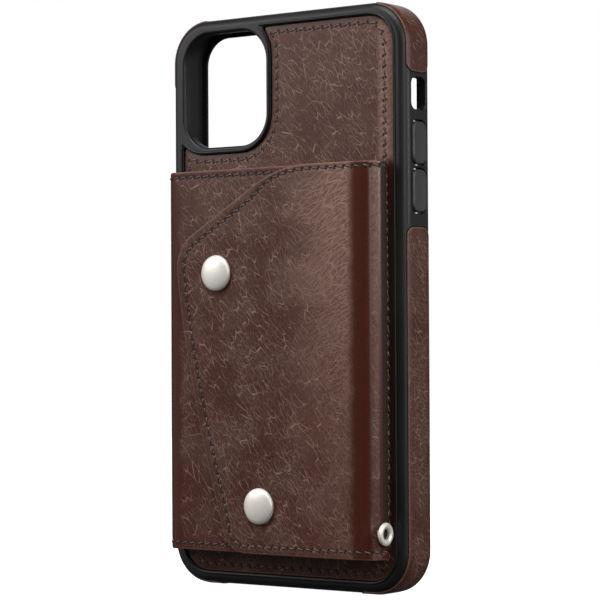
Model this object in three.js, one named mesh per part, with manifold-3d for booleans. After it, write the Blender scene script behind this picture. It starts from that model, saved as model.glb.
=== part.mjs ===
// Phone wallet case: a soft shell with a leather back, and a snap-closed card wallet sewn on the back.
// Millimetres. The case stands upright: +Z runs up its length, -Y looks out of the wallet, +Y is the
// screen side, and +X is the side with the volume buttons. The origin is the middle of the seat that
// the back of the phone rests on.
import * as THREE from "three";
import { mergeVertices } from "three/addons/utils/BufferGeometryUtils.js";
import Module from "manifold-3d";

const wasm = await Module();
wasm.setup();

// ---------------------------------------------------------------------------------------------
// Driving dimensions
// ---------------------------------------------------------------------------------------------

const ARC_STEPS = 8; // straight steps in a quarter turn
const SHORT_STEPS = 5; // straight steps in a small round
const CLEARANCE = 0.3; // between pieces that move past each other
const FIT = 0.15; // round a fitting in the hole it sits in
const OVERCUT = 1; // how far a cutter reaches past the surface it cuts

// The phone that the shell holds, with a little room all round it
const PHONE = { width: 78.2, height: 159.0, depth: 8.1, cornerRadius: 9.6 };

const SHELL = {
  width: 83,
  height: 163,
  cornerRadius: 12,
  backWall: 1.2, // under the back panel
  rimHeight: 3.2, // from the phone seat to the top of the rim around the panel
  lipHeight: 1.0, // in front of the phone's glass
  lipOverhang: 1.6, // how far the lip covers the edge of the glass
  backEdge: 2.6, // rounding of the outer back edge
  frontEdge: 2.2, // rounding of the outer front edge
};
const SHELL_FRONT = PHONE.depth + SHELL.lipHeight;

// Window for the camera, in the corner of the back
const WINDOW = { x: -21.8, z: 60.9, width: 29.8, height: 33, cornerRadius: 9 };

// Leather panel on the back: a rounded rectangle with a notch that leaves the camera window free
const PANEL = { width: 74.2, height: 155.8, cornerRadius: 8 };
const PANEL_GAP = 0.15; // between the panel and the rim
const NOTCH = { right: -4.9, bottom: 42.3, topCentreZ: 69.7, topRadius: 12, rightRadius: 11 };
const NOTCH_LEFT = { x: -30, radius: 10 };
const PLATE_THICKNESS = 0.8;
const LEATHER_THICKNESS = 0.9;
const PANEL_FACE = -(SHELL.backWall + PLATE_THICKNESS + LEATHER_THICKNESS);

// Leather strips let into the side walls, one at each corner. fromZ and fromX say where a strip begins,
// measured from the middle of the case towards the strip's own corner.
const STRIP = { thickness: 0.7, proud: 0.25, gap: 0.1, endRadius: 2.5, backAngle: 35, frontAngle: 20 };
const STRIP_UPPER = { fromZ: 61.8, fromX: 30 };
const STRIP_LOWER = { fromZ: -19.2, fromX: 24 };

// Side buttons and cut-outs, placed along Z on the side walls
const BUTTON = { y: 3.3, width: 6.6, cornerRadius: 2.4, proud: 0.45, footGap: 0.5 };
const VOLUME_UP = { z: 42.4, length: 11.8 };
const VOLUME_DOWN = { z: 29.2, length: 11.8 };
const POWER = { z: 36, length: 15 };
const MUTE_SLOT = { z: 56, length: 8.8, y: 3.3, width: 6.8, cornerRadius: 2 };
const PORT = { width: 13, y: 4.05, height: 6.1, cornerRadius: 2.4 };
const SPEAKER = { x: 15.5, width: 12, height: 3.3, cornerRadius: 1.6 };

// The wallet on the back: a wrap that starts flat on the panel, turns up as the spine and folds over
// as the flap
const WALLET = { left: -37.1, right: 36.1, bottom: -71.6, top: 37.2, thickness: 8.5 };
const WALLET_FRONT = PANEL_FACE - WALLET.thickness;
const WRAP = { leather: 1.0, lining: 0.6, footRadius: 2.2, shoulderRadius: 3.2, startX: -34.9 };
const FOLD_ANGLE = 50; // where the spine ends and the flap begins, in degrees round the shoulder
const FOLD_HALF_GAP = 3; // half of the gap between spine and flap, in degrees
const POCKET = { leather: 1.0, lining: 0.4, foldRadius: 2, face: -9.4, openX: 24 };
const LEAF = { thickness: 0.5, pitch: 1.4, hem: 3, left: -34.4, endInset: 0.4, rearX: 29.5, frontX: 26.7 };
const HIDDEN_INSET = 0.5; // how far a hidden layer stops short of the leather over it

// The edge of the flap in X and Z, from its straight top round the nose to its straight bottom
const FLAP = {
  topX: 14,
  slopeStart: [-5.5, 31.85],
  slopeStartControlX: 3.5,
  slopeEnd: [-27, 19.1],
  noseControl: [-32.8, 15.7],
  nose: [-32.3, 9],
  edgeControl: [-30.1, -18.8],
  edgeEnd: [-17, -64.5],
  bottomControlX: -15,
  bottomX: -8.5,
};

// Snap fasteners: a cap and socket on the flap, a stud and post on the pocket
const SNAPS = { upper: { x: -18.3, z: 7.6 }, lower: { x: -3.2, z: -58.1 } };
const CAP = { radius: 5.1, height: 1.9, edge: 0.4, postRadius: 1.2 };
const SOCKET = { radius: 3.8, depth: 0.9, mouthRadius: 2.6, mouthDepth: 0.7 };
const STUD = { flangeRadius: 3.9, flange: 0.4, headRadius: 2.25, headHeight: 0.9, neckRadius: 1.4 };
const POST = { radius: 3.4, thickness: 0.4 };

// Strap eyelet through the spine
const EYELET = { y: -6.65, z: -64.5, radius: 3.2, flange: 1.1, rim: 0.3, bore: 1.5, barrel: 1.8 };
const WASHER = { radius: 2.05, thickness: 0.4, gap: 0.25, slack: 0.05 };
const ROUND_STEPS = 6; // straight steps in the section of a cap or a ring

// ---------------------------------------------------------------------------------------------
// Materials
// ---------------------------------------------------------------------------------------------

const finish = (color, roughness, metalness = 0) => () =>
  new THREE.MeshStandardMaterial({ color, roughness, metalness });
const softPlastic = finish(0x26282a, 0.55);
const hardPlastic = finish(0x1b1c1e, 0.4);
const leather = finish(0x4a3029, 0.6);
const lining = finish(0x2e2320, 0.8);
const nickel = finish(0xd8d6d0, 0.25, 1);

// ---------------------------------------------------------------------------------------------
// Solids
// ---------------------------------------------------------------------------------------------

// A closed geometry as a solid with its faces pointing out.
function solid(geometry) {
  const bare = geometry.index ? geometry.toNonIndexed() : geometry.clone();
  bare.deleteAttribute("normal");
  bare.deleteAttribute("uv");
  const merged = mergeVertices(bare, 1e-4);
  const corners = Array.from(merged.index.array);
  const faces = [];
  for (let i = 0; i < corners.length; i += 3) {
    const [a, b, c] = corners.slice(i, i + 3);
    if (a !== b && b !== c && c !== a) faces.push([a, b, c]);
  }
  const make = (list) =>
    new wasm.Manifold(
      new wasm.Mesh({
        numProp: 3,
        vertProperties: merged.attributes.position.array,
        triVerts: new Uint32Array(list.flat()),
      }),
    );
  const made = make(faces);
  return made.volume() > 0 ? made : make(faces.map(([a, b, c]) => [a, c, b]));
}

// A solid as a geometry again.
function geometryOf(body) {
  const mesh = body.getMesh();
  const geometry = new THREE.BufferGeometry();
  geometry.setAttribute("position", new THREE.BufferAttribute(mesh.vertProperties, 3));
  geometry.setIndex(new THREE.BufferAttribute(mesh.triVerts, 1));
  const flat = geometry.toNonIndexed();
  flat.computeVertexNormals();
  return flat;
}

const root = new THREE.Group();

function add(name, body, material) {
  const mesh = new THREE.Mesh(geometryOf(body), material());
  mesh.name = name;
  root.add(mesh);
}

const radians = THREE.MathUtils.degToRad;

// Points on an arc, both ends included.
function arc(cx, cy, radius, from, to, steps = ARC_STEPS) {
  return Array.from({ length: steps + 1 }, (_, i) => {
    const angle = radians(from + ((to - from) * i) / steps);
    return new THREE.Vector2(cx + radius * Math.cos(angle), cy + radius * Math.sin(angle));
  });
}

// Corner points of a rounded rectangle, anticlockwise, the same number for any size.
function roundedRect(width, height, radius, cx = 0, cy = 0) {
  const x = width / 2 - radius;
  const y = height / 2 - radius;
  return [
    ...arc(cx + x, cy + y, radius, 0, 90),
    ...arc(cx - x, cy + y, radius, 90, 180),
    ...arc(cx - x, cy - y, radius, 180, 270),
    ...arc(cx + x, cy - y, radius, 270, 360),
  ];
}

// An outline drawn in X and Z, as a plate from one Y to another.
function plate(outline, fromY, toY) {
  const geometry = new THREE.ExtrudeGeometry(new THREE.Shape(outline), {
    depth: Math.abs(toY - fromY),
    bevelEnabled: false,
  });
  return solid(geometry.rotateX(Math.PI / 2).translate(0, Math.max(fromY, toY), 0));
}

// An outline drawn in X and Y, as a prism from one Z to another.
function prism(outline, fromZ, toZ) {
  const geometry = new THREE.ExtrudeGeometry(new THREE.Shape(outline), {
    depth: toZ - fromZ,
    bevelEnabled: false,
  });
  return solid(geometry.translate(0, 0, fromZ));
}

// An outline drawn in Y and Z, as a block from one X to another.
function sideBlock(outline, fromX, toX) {
  const geometry = new THREE.ExtrudeGeometry(new THREE.Shape(outline), {
    depth: toX - fromX,
    bevelEnabled: false,
  });
  return solid(geometry.rotateY(Math.PI / 2).rotateX(Math.PI / 2).translate(fromX, 0, 0));
}

// A box between two corners.
function box(low, high) {
  const size = high.map((value, i) => value - low[i]);
  const geometry = new THREE.BoxGeometry(...size);
  return solid(geometry.translate(...low.map((value, i) => value + size[i] / 2)));
}

// A profile of [radius, y] turned round an axis along Y.
function turned(profile, x, z) {
  const points = profile.map(([radius, distance]) => new THREE.Vector2(radius, distance));
  return solid(new THREE.LatheGeometry(points, 4 * ARC_STEPS).translate(x, 0, z));
}

// A profile of [inset, y] carried round the outline of the shell. An open profile is capped at both ends.
function aroundOutline(profile, width, height, radius, closed = false) {
  const rings = profile.map(([inset, y]) => {
    const corner = Math.max(radius - inset, 0.5);
    const ring = roundedRect(width - 2 * inset, height - 2 * inset, corner);
    return ring.map((p) => [p.x, y, p.y]);
  });
  const count = rings[0].length;
  const positions = rings.flat();
  const index = [];
  const last = closed ? rings.length : rings.length - 1;
  for (let ring = 0; ring < last; ring += 1) {
    const here = ring * count;
    const there = ((ring + 1) % rings.length) * count;
    for (let i = 0; i < count; i += 1) {
      const next = (i + 1) % count;
      index.push(here + i, here + next, there + next, here + i, there + next, there + i);
    }
  }
  if (!closed) {
    const end = (rings.length - 1) * count;
    for (let i = 1; i < count - 1; i += 1) {
      index.push(0, i + 1, i);
      index.push(end, end + i, end + i + 1);
    }
  }
  const geometry = new THREE.BufferGeometry();
  geometry.setAttribute("position", new THREE.BufferAttribute(new Float32Array(positions.flat()), 3));
  geometry.setIndex(index);
  return solid(geometry);
}

// An outline moved inwards by a distance, for an anticlockwise outline.
function insetOutline(points, distance) {
  const inward = (from, to) => {
    const along = to.clone().sub(from).normalize();
    return new THREE.Vector2(-along.y, along.x);
  };
  return points.map((point, i) => {
    const before = points[(i + points.length - 1) % points.length];
    const after = points[(i + 1) % points.length];
    const a = inward(before, point);
    const b = inward(point, after);
    const middle = a.clone().add(b).normalize();
    return point.clone().addScaledVector(middle, distance / Math.max(middle.dot(a), 0.5));
  });
}

// ---------------------------------------------------------------------------------------------
// Shell
// ---------------------------------------------------------------------------------------------

// The outside of the shell as [inset, y], rounded at the back and front edges and grown outwards by
// some distance.
function sideProfile(grow, backAngle, frontAngle) {
  const { backEdge, frontEdge, rimHeight } = SHELL;
  const back = arc(backEdge, backEdge - rimHeight, backEdge + grow, 180 + backAngle, 180, SHORT_STEPS);
  const frontY = SHELL_FRONT - frontEdge;
  const front = arc(frontEdge, frontY, frontEdge + grow, 180, 180 - frontAngle, SHORT_STEPS);
  return [...back, ...front].map((p) => [p.x, p.y]);
}

// The outline of the back panel, grown outwards by some distance.
function panelOutline(grow) {
  const right = PANEL.width / 2 + grow;
  const top = PANEL.height / 2 + grow;
  const radius = PANEL.cornerRadius + grow;
  const sideX = right - radius;
  const endZ = top - radius;
  const degrees = THREE.MathUtils.radToDeg;
  const topRadius = NOTCH.topRadius - grow;
  const topX = NOTCH.right - NOTCH.topRadius;
  const topAngle = degrees(Math.asin((top - NOTCH.topCentreZ) / topRadius));
  const cornerRadius = NOTCH.rightRadius - grow;
  const leftRadius = NOTCH_LEFT.radius - grow;
  const leftAngle = degrees(Math.acos((-right - NOTCH_LEFT.x) / leftRadius));
  return [
    ...arc(sideX, endZ, radius, 0, 90),
    ...arc(topX, NOTCH.topCentreZ, topRadius, topAngle, 0),
    ...arc(NOTCH.right - NOTCH.rightRadius, NOTCH.bottom + NOTCH.rightRadius, cornerRadius, 0, -90),
    ...arc(NOTCH_LEFT.x, NOTCH.bottom + NOTCH_LEFT.radius, leftRadius, -90, -leftAngle, SHORT_STEPS),
    ...arc(-sideX, -endZ, radius, 180, 270),
    ...arc(sideX, -endZ, radius, 270, 360),
  ];
}

function buttonOutline(button, grow) {
  const radius = BUTTON.cornerRadius + grow;
  return roundedRect(BUTTON.width + 2 * grow, button.length + 2 * grow, radius, BUTTON.y, button.z);
}

function shell() {
  const { width, height, cornerRadius, rimHeight, lipOverhang } = SHELL;
  const outside = aroundOutline(sideProfile(0, 90, 90), width, height, cornerRadius);
  const phone = plate(roundedRect(PHONE.width, PHONE.height, PHONE.cornerRadius), 0, PHONE.depth);
  const mouth = plate(
    roundedRect(
      PHONE.width - 2 * lipOverhang,
      PHONE.height - 2 * lipOverhang,
      PHONE.cornerRadius - lipOverhang,
    ),
    PHONE.depth - OVERCUT,
    SHELL_FRONT + OVERCUT,
  );
  const aboveRim = -rimHeight - OVERCUT;
  const recess = plate(panelOutline(PANEL_GAP), -SHELL.backWall, aboveRim);
  const camera = plate(
    roundedRect(WINDOW.width, WINDOW.height, WINDOW.cornerRadius, WINDOW.x, WINDOW.z),
    OVERCUT,
    aboveRim,
  );
  const innerX = PHONE.width / 2 - OVERCUT;
  const outerX = width / 2 + OVERCUT;
  const up = sideBlock(buttonOutline(VOLUME_UP, CLEARANCE), innerX, outerX);
  const down = sideBlock(buttonOutline(VOLUME_DOWN, CLEARANCE), innerX, outerX);
  const power = sideBlock(buttonOutline(POWER, CLEARANCE), -outerX, -innerX);
  const mute = sideBlock(
    roundedRect(MUTE_SLOT.width, MUTE_SLOT.length, MUTE_SLOT.cornerRadius, MUTE_SLOT.y, MUTE_SLOT.z),
    innerX,
    outerX,
  );
  const throughBottom = (outline) =>
    prism(outline, -height / 2 - OVERCUT, -PHONE.height / 2 + OVERCUT);
  const port = throughBottom(roundedRect(PORT.width, PORT.height, PORT.cornerRadius, 0, PORT.y));
  const speakers = [-SPEAKER.x, SPEAKER.x].map((x) =>
    throughBottom(roundedRect(SPEAKER.width, SPEAKER.height, SPEAKER.cornerRadius, x, PORT.y)),
  );
  const band = stripBand(STRIP.gap, OVERCUT);
  const strips = Object.values(stripCutters()).map((cutter) => band.intersect(cutter(STRIP.gap)));
  const cuts = [phone, mouth, recess, camera, up, down, power, mute, port, ...speakers, ...strips];
  return cuts.reduce((body, cut) => body.subtract(cut), outside);
}

// The band round the side walls that the leather strips are cut from. For their recesses it is larger by
// a gap, and it reaches out past the wall by an overcut.
function stripBand(gap, overcut) {
  const gapAngle = THREE.MathUtils.radToDeg(gap / SHELL.frontEdge);
  const backAngle = STRIP.backAngle + gapAngle;
  const frontAngle = STRIP.frontAngle + gapAngle;
  const outer = sideProfile(STRIP.proud + overcut, backAngle, frontAngle);
  const inner = sideProfile(STRIP.proud - STRIP.thickness - gap, backAngle, frontAngle);
  const section = [...outer, ...inner.reverse()];
  return aroundOutline(section, SHELL.width, SHELL.height, SHELL.cornerRadius, true);
}

// A block over each corner strip, grown by some distance, under the strip's name.
function stripCutters() {
  const far = SHELL.height;
  const backRound = SHELL.backEdge * (1 - Math.sin(radians(STRIP.backAngle)));
  const frontRound = SHELL.frontEdge * (1 - Math.sin(radians(STRIP.frontAngle)));
  const backY = backRound - SHELL.rimHeight;
  const frontY = SHELL_FRONT - frontRound;
  const corner = (sideX, sideZ, limits) => (grow) => {
    const fromX = limits.fromX - grow;
    const fromZ = limits.fromZ - grow;
    const outline = roundedRect(
      frontY - backY + 2 * grow,
      far - fromZ,
      STRIP.endRadius,
      (frontY + backY) / 2,
      (sideZ * (far + fromZ)) / 2,
    );
    return sideX > 0 ? sideBlock(outline, fromX, far) : sideBlock(outline, -far, -fromX);
  };
  return {
    upper_right: corner(1, 1, STRIP_UPPER),
    lower_right: corner(1, -1, STRIP_LOWER),
    upper_left: corner(-1, 1, STRIP_UPPER),
    lower_left: corner(-1, -1, STRIP_LOWER),
  };
}

function addShell() {
  add("tpu_shell", shell(), softPlastic);
  const plateBack = -SHELL.backWall;
  const plateFront = plateBack - PLATE_THICKNESS;
  add("backer_plate", plate(panelOutline(-HIDDEN_INSET), plateBack, plateFront), hardPlastic);
  add("back_leather", plate(panelOutline(0), plateFront, PANEL_FACE), leather);
  const band = stripBand(0, 0);
  Object.entries(stripCutters()).forEach(([name, cutter]) => {
    add(`side_leather_${name}`, band.intersect(cutter(0)), leather);
  });
}

// ---------------------------------------------------------------------------------------------
// Side buttons
// ---------------------------------------------------------------------------------------------

function addButtons() {
  const footX = PHONE.width / 2 + BUTTON.footGap;
  const faceX = SHELL.width / 2 + BUTTON.proud;
  add("volume_up_button", sideBlock(buttonOutline(VOLUME_UP, 0), footX, faceX), softPlastic);
  add("volume_down_button", sideBlock(buttonOutline(VOLUME_DOWN, 0), footX, faceX), softPlastic);
  add("power_button", sideBlock(buttonOutline(POWER, 0), -faceX, -footX), softPlastic);
}

// ---------------------------------------------------------------------------------------------
// Wallet
// ---------------------------------------------------------------------------------------------

const SHOULDER = {
  x: WALLET.right - WRAP.shoulderRadius,
  y: WALLET_FRONT + WRAP.shoulderRadius,
};

// The wrap from the panel up the spine, a given depth under its outer face, as points in X and Y.
function spineLine(depth) {
  const footX = WALLET.right - WRAP.footRadius;
  const footY = PANEL_FACE - WRAP.footRadius;
  const end = -FOLD_ANGLE + FOLD_HALF_GAP;
  return [
    new THREE.Vector2(WRAP.startX, PANEL_FACE - depth),
    ...arc(footX, footY, WRAP.footRadius - depth, 90, 0),
    ...arc(SHOULDER.x, SHOULDER.y, WRAP.shoulderRadius - depth, 0, end, SHORT_STEPS),
  ];
}

// The part of the shoulder that folds over with the flap, a given depth under its outer face.
function shoulderLine(depth) {
  const start = -FOLD_ANGLE - FOLD_HALF_GAP;
  return arc(SHOULDER.x, SHOULDER.y, WRAP.shoulderRadius - depth, start, -90, SHORT_STEPS);
}

// The strip between two depths of a line.
const layer = (line, outer, inner) => [...line(outer), ...line(inner).reverse()];

// The outline of the flap in X and Z: straight top, sloping shoulder, rounded nose, and a free edge that
// leans in towards the bottom.
function flapOutline() {
  const shape = new THREE.Shape();
  shape.moveTo(SHOULDER.x, WALLET.bottom);
  shape.lineTo(SHOULDER.x, WALLET.top);
  shape.lineTo(FLAP.topX, WALLET.top);
  shape.quadraticCurveTo(FLAP.slopeStartControlX, WALLET.top, ...FLAP.slopeStart);
  shape.lineTo(...FLAP.slopeEnd);
  shape.quadraticCurveTo(...FLAP.noseControl, ...FLAP.nose);
  shape.quadraticCurveTo(...FLAP.edgeControl, ...FLAP.edgeEnd);
  shape.quadraticCurveTo(FLAP.bottomControlX, WALLET.bottom, FLAP.bottomX, WALLET.bottom);
  return shape.getPoints(ARC_STEPS);
}

// One layer of the flap: its flat sheet and its part of the shoulder. An inset leaves the side along the
// shoulder where it is, so that the two stay joined.
function flapLayer(outer, inner, inset) {
  const drawn = flapOutline();
  const outline = insetOutline(drawn, inset).map((p, i) =>
    drawn[i].x === SHOULDER.x ? new THREE.Vector2(SHOULDER.x, p.y) : p,
  );
  const sheet = plate(outline, WALLET_FRONT + outer, WALLET_FRONT + inner);
  const section = layer(shoulderLine, outer, inner);
  const bend = prism(section, WALLET.bottom + inset, WALLET.top - inset);
  return sheet.add(bend);
}

// The pocket front: a foot on the panel, a rounded fold up the left edge, and the front sheet.
function pocketLine(depth) {
  const x = WALLET.left + POCKET.foldRadius;
  const y = POCKET.face + POCKET.foldRadius;
  return [
    new THREE.Vector2(WALLET.left + depth, PANEL_FACE),
    ...arc(x, y, POCKET.foldRadius - depth, 180, 270),
    new THREE.Vector2(POCKET.openX, POCKET.face + depth),
  ];
}

// Strips along the top and bottom edges, where a layer is turned over and sewn.
function hems(left, right, back, front, inset) {
  const low = WALLET.bottom + inset;
  const high = WALLET.top - inset;
  const hem = (fromZ, toZ) => box([left, front, fromZ], [right, back, toZ]);
  return hem(low, low + LEAF.hem).add(hem(high - LEAF.hem, high));
}

// A leaf between two card pockets. Its hems fill the space behind it, so the cards slide in from the spine.
function leaf(right, backY) {
  const low = WALLET.bottom + LEAF.endInset;
  const high = WALLET.top - LEAF.endInset;
  const front = backY - LEAF.pitch;
  const sheet = box([LEAF.left, front, low], [right, front + LEAF.thickness, high]);
  return sheet.add(hems(LEAF.left, right, backY, front, LEAF.endInset));
}

// A fitting made round the Y axis, turned to face out of the spine and moved in from it by a depth.
function onSpine(body, depth) {
  return body.rotate([0, 0, -90]).translate([WALLET.right - depth, EYELET.y, EYELET.z]);
}

function addWrap() {
  const { leather: skin, lining: cloth } = WRAP;
  const bore = EYELET.barrel + FIT;
  const reach = skin + cloth + OVERCUT;
  const drill = onSpine(turned([[0, -reach], [bore, -reach], [bore, OVERCUT], [0, OVERCUT]], 0, 0), 0);
  const wrap = prism(layer(spineLine, 0, skin), WALLET.bottom, WALLET.top);
  const inside = prism(
    layer(spineLine, skin, skin + cloth),
    WALLET.bottom + HIDDEN_INSET,
    WALLET.top - HIDDEN_INSET,
  );
  add("wallet_wrap", wrap.subtract(drill), leather);
  add("wrap_lining", inside.subtract(drill), lining);
}

function addLeaves() {
  const first = PANEL_FACE - WRAP.leather - WRAP.lining;
  add("card_slot_rear", leaf(LEAF.rearX, first), lining);
  add("card_slot_front", leaf(LEAF.frontX, first - LEAF.pitch), lining);
}

// Drills a layer at both snaps with a hole of some profile.
function drill(profile) {
  const holes = Object.values(SNAPS).map(({ x, z }) => turned(profile, x, z));
  return (body) => holes.reduce((kept, hole) => kept.subtract(hole), body);
}

function addPocket() {
  const { leather: skin, lining: cloth, face } = POCKET;
  const front = prism(layer(pocketLine, 0, skin), WALLET.bottom, WALLET.top);
  const sheet = prism(
    layer(pocketLine, skin, skin + cloth),
    WALLET.bottom + LEAF.endInset,
    WALLET.top - LEAF.endInset,
  );
  const leafFace = PANEL_FACE - WRAP.leather - WRAP.lining - 2 * LEAF.pitch;
  const insideSheet = face + skin + cloth / 2; // the hems reach into the sheet, which makes them one piece
  const hemLeft = WALLET.left + POCKET.foldRadius;
  const hemmed = sheet.add(hems(hemLeft, POCKET.openX, leafFace, insideSheet, LEAF.endInset));
  const neck = STUD.neckRadius + FIT;
  const rim = STUD.flangeRadius + FIT;
  const seat = face + STUD.flange;
  const drilled = drill([
    [0, face + skin + cloth + OVERCUT],
    [neck, face + skin + cloth + OVERCUT],
    [neck, seat],
    [rim, seat],
    [rim, face - OVERCUT],
    [0, face - OVERCUT],
  ]);
  add("pocket_front", drilled(front), leather);
  add("pocket_lining", drilled(hemmed), lining);
}

function addFlap() {
  const { leather: skin, lining: cloth } = WRAP;
  const under = WALLET_FRONT + skin + cloth;
  const neck = CAP.postRadius + FIT;
  const rim = SOCKET.radius + FIT;
  const seat = under - SOCKET.depth;
  const drilled = drill([
    [0, under + OVERCUT],
    [rim, under + OVERCUT],
    [rim, seat],
    [neck, seat],
    [neck, WALLET_FRONT - OVERCUT],
    [0, WALLET_FRONT - OVERCUT],
  ]);
  add("flap_leather", drilled(flapLayer(0, skin, 0)), leather);
  add("flap_lining", drilled(flapLayer(skin, skin + cloth, HIDDEN_INSET)), lining);
}

// ---------------------------------------------------------------------------------------------
// Metal fittings
// ---------------------------------------------------------------------------------------------

// A domed cap whose post goes through the flap to the socket.
function snapCap({ x, z }) {
  const rim = WALLET_FRONT - CAP.edge;
  const top = WALLET_FRONT - CAP.height;
  const foot = WALLET_FRONT + WRAP.leather + WRAP.lining - SOCKET.depth;
  const dome = Array.from({ length: ROUND_STEPS }, (_, i) => {
    const angle = radians((90 * i) / ROUND_STEPS);
    return [CAP.radius * Math.cos(angle), rim + (top - rim) * Math.sin(angle)];
  });
  const post = [
    [0, foot],
    [CAP.postRadius, foot],
    [CAP.postRadius, WALLET_FRONT],
    [CAP.radius, WALLET_FRONT],
  ];
  return turned([...post, ...dome, [0, top]], x, z);
}

// A cup let into the inside of the flap, open towards the stud.
function snapSocket({ x, z }) {
  const under = WALLET_FRONT + WRAP.leather + WRAP.lining;
  const back = under - SOCKET.depth;
  const floor = under - SOCKET.mouthDepth;
  const { radius, mouthRadius } = SOCKET;
  return turned(
    [[0, floor], [mouthRadius, floor], [mouthRadius, under], [radius, under], [radius, back], [0, back]],
    x,
    z,
  );
}

// A stud let into the pocket front: flange, head and neck.
function stud({ x, z }) {
  const { face } = POCKET;
  const seat = face + STUD.flange;
  const end = face + POCKET.leather + POCKET.lining;
  const top = face - STUD.headHeight;
  const { headRadius: head, flangeRadius: flange, neckRadius: neck } = STUD;
  const below = [[0, end], [neck, end], [neck, seat], [flange, seat], [flange, face]];
  const above = [[head, face], [head, top], [0, top]];
  return turned([...below, ...above], x, z);
}

// The washer behind the pocket front that the stud is riveted to.
function studPost({ x, z }) {
  const front = POCKET.face + POCKET.leather + POCKET.lining;
  const back = front + POST.thickness;
  return turned([[0, back], [POST.radius, back], [POST.radius, front], [0, front]], x, z);
}

const BARREL_LENGTH = WRAP.leather + WRAP.lining + WASHER.gap + WASHER.thickness;

// A rounded ring with a barrel through the spine.
function eyelet() {
  const { radius, flange, rim, bore, barrel } = EYELET;
  const middle = (radius + bore) / 2;
  const round = Array.from({ length: ROUND_STEPS + 1 }, (_, i) => {
    const angle = radians((180 * i) / ROUND_STEPS);
    return [middle + ((radius - bore) / 2) * Math.cos(angle), rim + (flange - rim) * Math.sin(angle)];
  });
  const foot = [
    [barrel, -BARREL_LENGTH],
    [barrel, 0],
    [radius, 0],
  ];
  return turned([...foot, ...round, [bore, -BARREL_LENGTH], foot[0]], 0, 0);
}

function eyeletWasher() {
  const inner = EYELET.barrel + WASHER.slack;
  const { radius, thickness } = WASHER;
  return turned([[inner, 0], [radius, 0], [radius, thickness], [inner, thickness], [inner, 0]], 0, 0);
}

function addFittings() {
  Object.entries(SNAPS).forEach(([place, spot]) => {
    add(`snap_cap_${place}`, snapCap(spot), nickel);
    add(`snap_socket_${place}`, snapSocket(spot), nickel);
    add(`stud_${place}`, stud(spot), nickel);
    add(`stud_post_${place}`, studPost(spot), nickel);
  });
  add("eyelet", onSpine(eyelet(), 0), nickel);
  add("eyelet_washer", onSpine(eyeletWasher(), BARREL_LENGTH), nickel);
}

addShell();
addButtons();
addWrap();
addLeaves();
addPocket();
addFlap();
addFittings();

export default root;
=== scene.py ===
"""Phone wallet case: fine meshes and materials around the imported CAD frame.

Lengths are in millimetres until a mesh is made, in the frame's own axes: +Z runs up the case, -Y looks out of
the wallet, +Y is the screen side and +X the side with the volume buttons.
"""

import math

import bmesh
import bpy
import numpy as np
from mathutils import Matrix, Vector
from mathutils.geometry import delaunay_2d_cdt


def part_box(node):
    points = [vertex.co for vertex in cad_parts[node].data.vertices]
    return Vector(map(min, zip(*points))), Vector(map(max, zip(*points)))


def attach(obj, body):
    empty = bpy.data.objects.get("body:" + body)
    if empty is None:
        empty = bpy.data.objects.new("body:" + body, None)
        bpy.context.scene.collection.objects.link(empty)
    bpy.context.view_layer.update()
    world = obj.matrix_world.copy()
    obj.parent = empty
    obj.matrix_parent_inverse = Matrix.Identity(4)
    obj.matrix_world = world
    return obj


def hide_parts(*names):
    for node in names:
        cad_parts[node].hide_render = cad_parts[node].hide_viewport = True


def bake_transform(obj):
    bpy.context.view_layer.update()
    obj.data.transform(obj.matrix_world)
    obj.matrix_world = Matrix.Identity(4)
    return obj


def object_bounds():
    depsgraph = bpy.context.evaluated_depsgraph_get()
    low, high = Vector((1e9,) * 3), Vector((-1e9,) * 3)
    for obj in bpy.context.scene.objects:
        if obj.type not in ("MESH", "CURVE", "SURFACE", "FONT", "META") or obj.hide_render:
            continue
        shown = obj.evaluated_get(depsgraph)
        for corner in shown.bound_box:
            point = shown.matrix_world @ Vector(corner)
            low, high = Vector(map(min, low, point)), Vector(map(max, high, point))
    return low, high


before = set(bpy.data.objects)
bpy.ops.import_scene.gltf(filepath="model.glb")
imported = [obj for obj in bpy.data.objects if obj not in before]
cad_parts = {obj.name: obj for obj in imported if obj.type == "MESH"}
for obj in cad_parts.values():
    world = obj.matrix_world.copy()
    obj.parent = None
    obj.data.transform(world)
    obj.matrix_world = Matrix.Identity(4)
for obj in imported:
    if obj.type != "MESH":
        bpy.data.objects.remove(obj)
cad_low, cad_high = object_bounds()

MM = 0.001

# ---- Dimensions ----


def span(node):
    """Lowest and highest corner of a CAD node, in millimetres."""
    low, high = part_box(node)
    return np.array(low) / MM, np.array(high) / MM


SHELL_LOW, SHELL_HIGH = span("tpu_shell")
PANEL_LOW, PANEL_HIGH = span("back_leather")
WRAP_LOW, WRAP_HIGH = span("wallet_wrap")
POCKET_LOW, POCKET_HIGH = span("pocket_front")

# Shell: outline, walls and the rounding of its edges
SHELL_SIZE = (SHELL_HIGH - SHELL_LOW)[[0, 2]]
SHELL_CORNER = 12
PHONE_WALL = 2.4  # from the outside of the shell to the phone
PHONE_CORNER = 9.6
CAVITY_LEAN = 0.7  # the cavity's walls lean out by this from its floor to the lip
LIP = 1.6  # how far the front lip covers the phone
LIP_HEIGHT = 1.0
BACK_WALL = 1.2
BACK_EDGE = 2.6
FRONT_EDGE = 2.2
RIM_Y = SHELL_LOW[1]
FRONT_Y = SHELL_HIGH[1]
BEAD = {"inset": 0.62, "radius": 0.42}  # thin bead that runs round the panel on top of the rim

# Openings: rounded rectangles whose x and y are the two axes of the wall's own pattern
WINDOW = {"x": -21.8, "y": 60.9, "width": 29.8, "height": 33, "corner": 9}
PANEL_CORNER = 8
NOTCH = {"right": -4.9, "bottom": 42.3, "top_z": 69.7, "top_radius": 12, "right_radius": 11}
NOTCH_LEFT = {"x": -30, "radius": 10}

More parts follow.
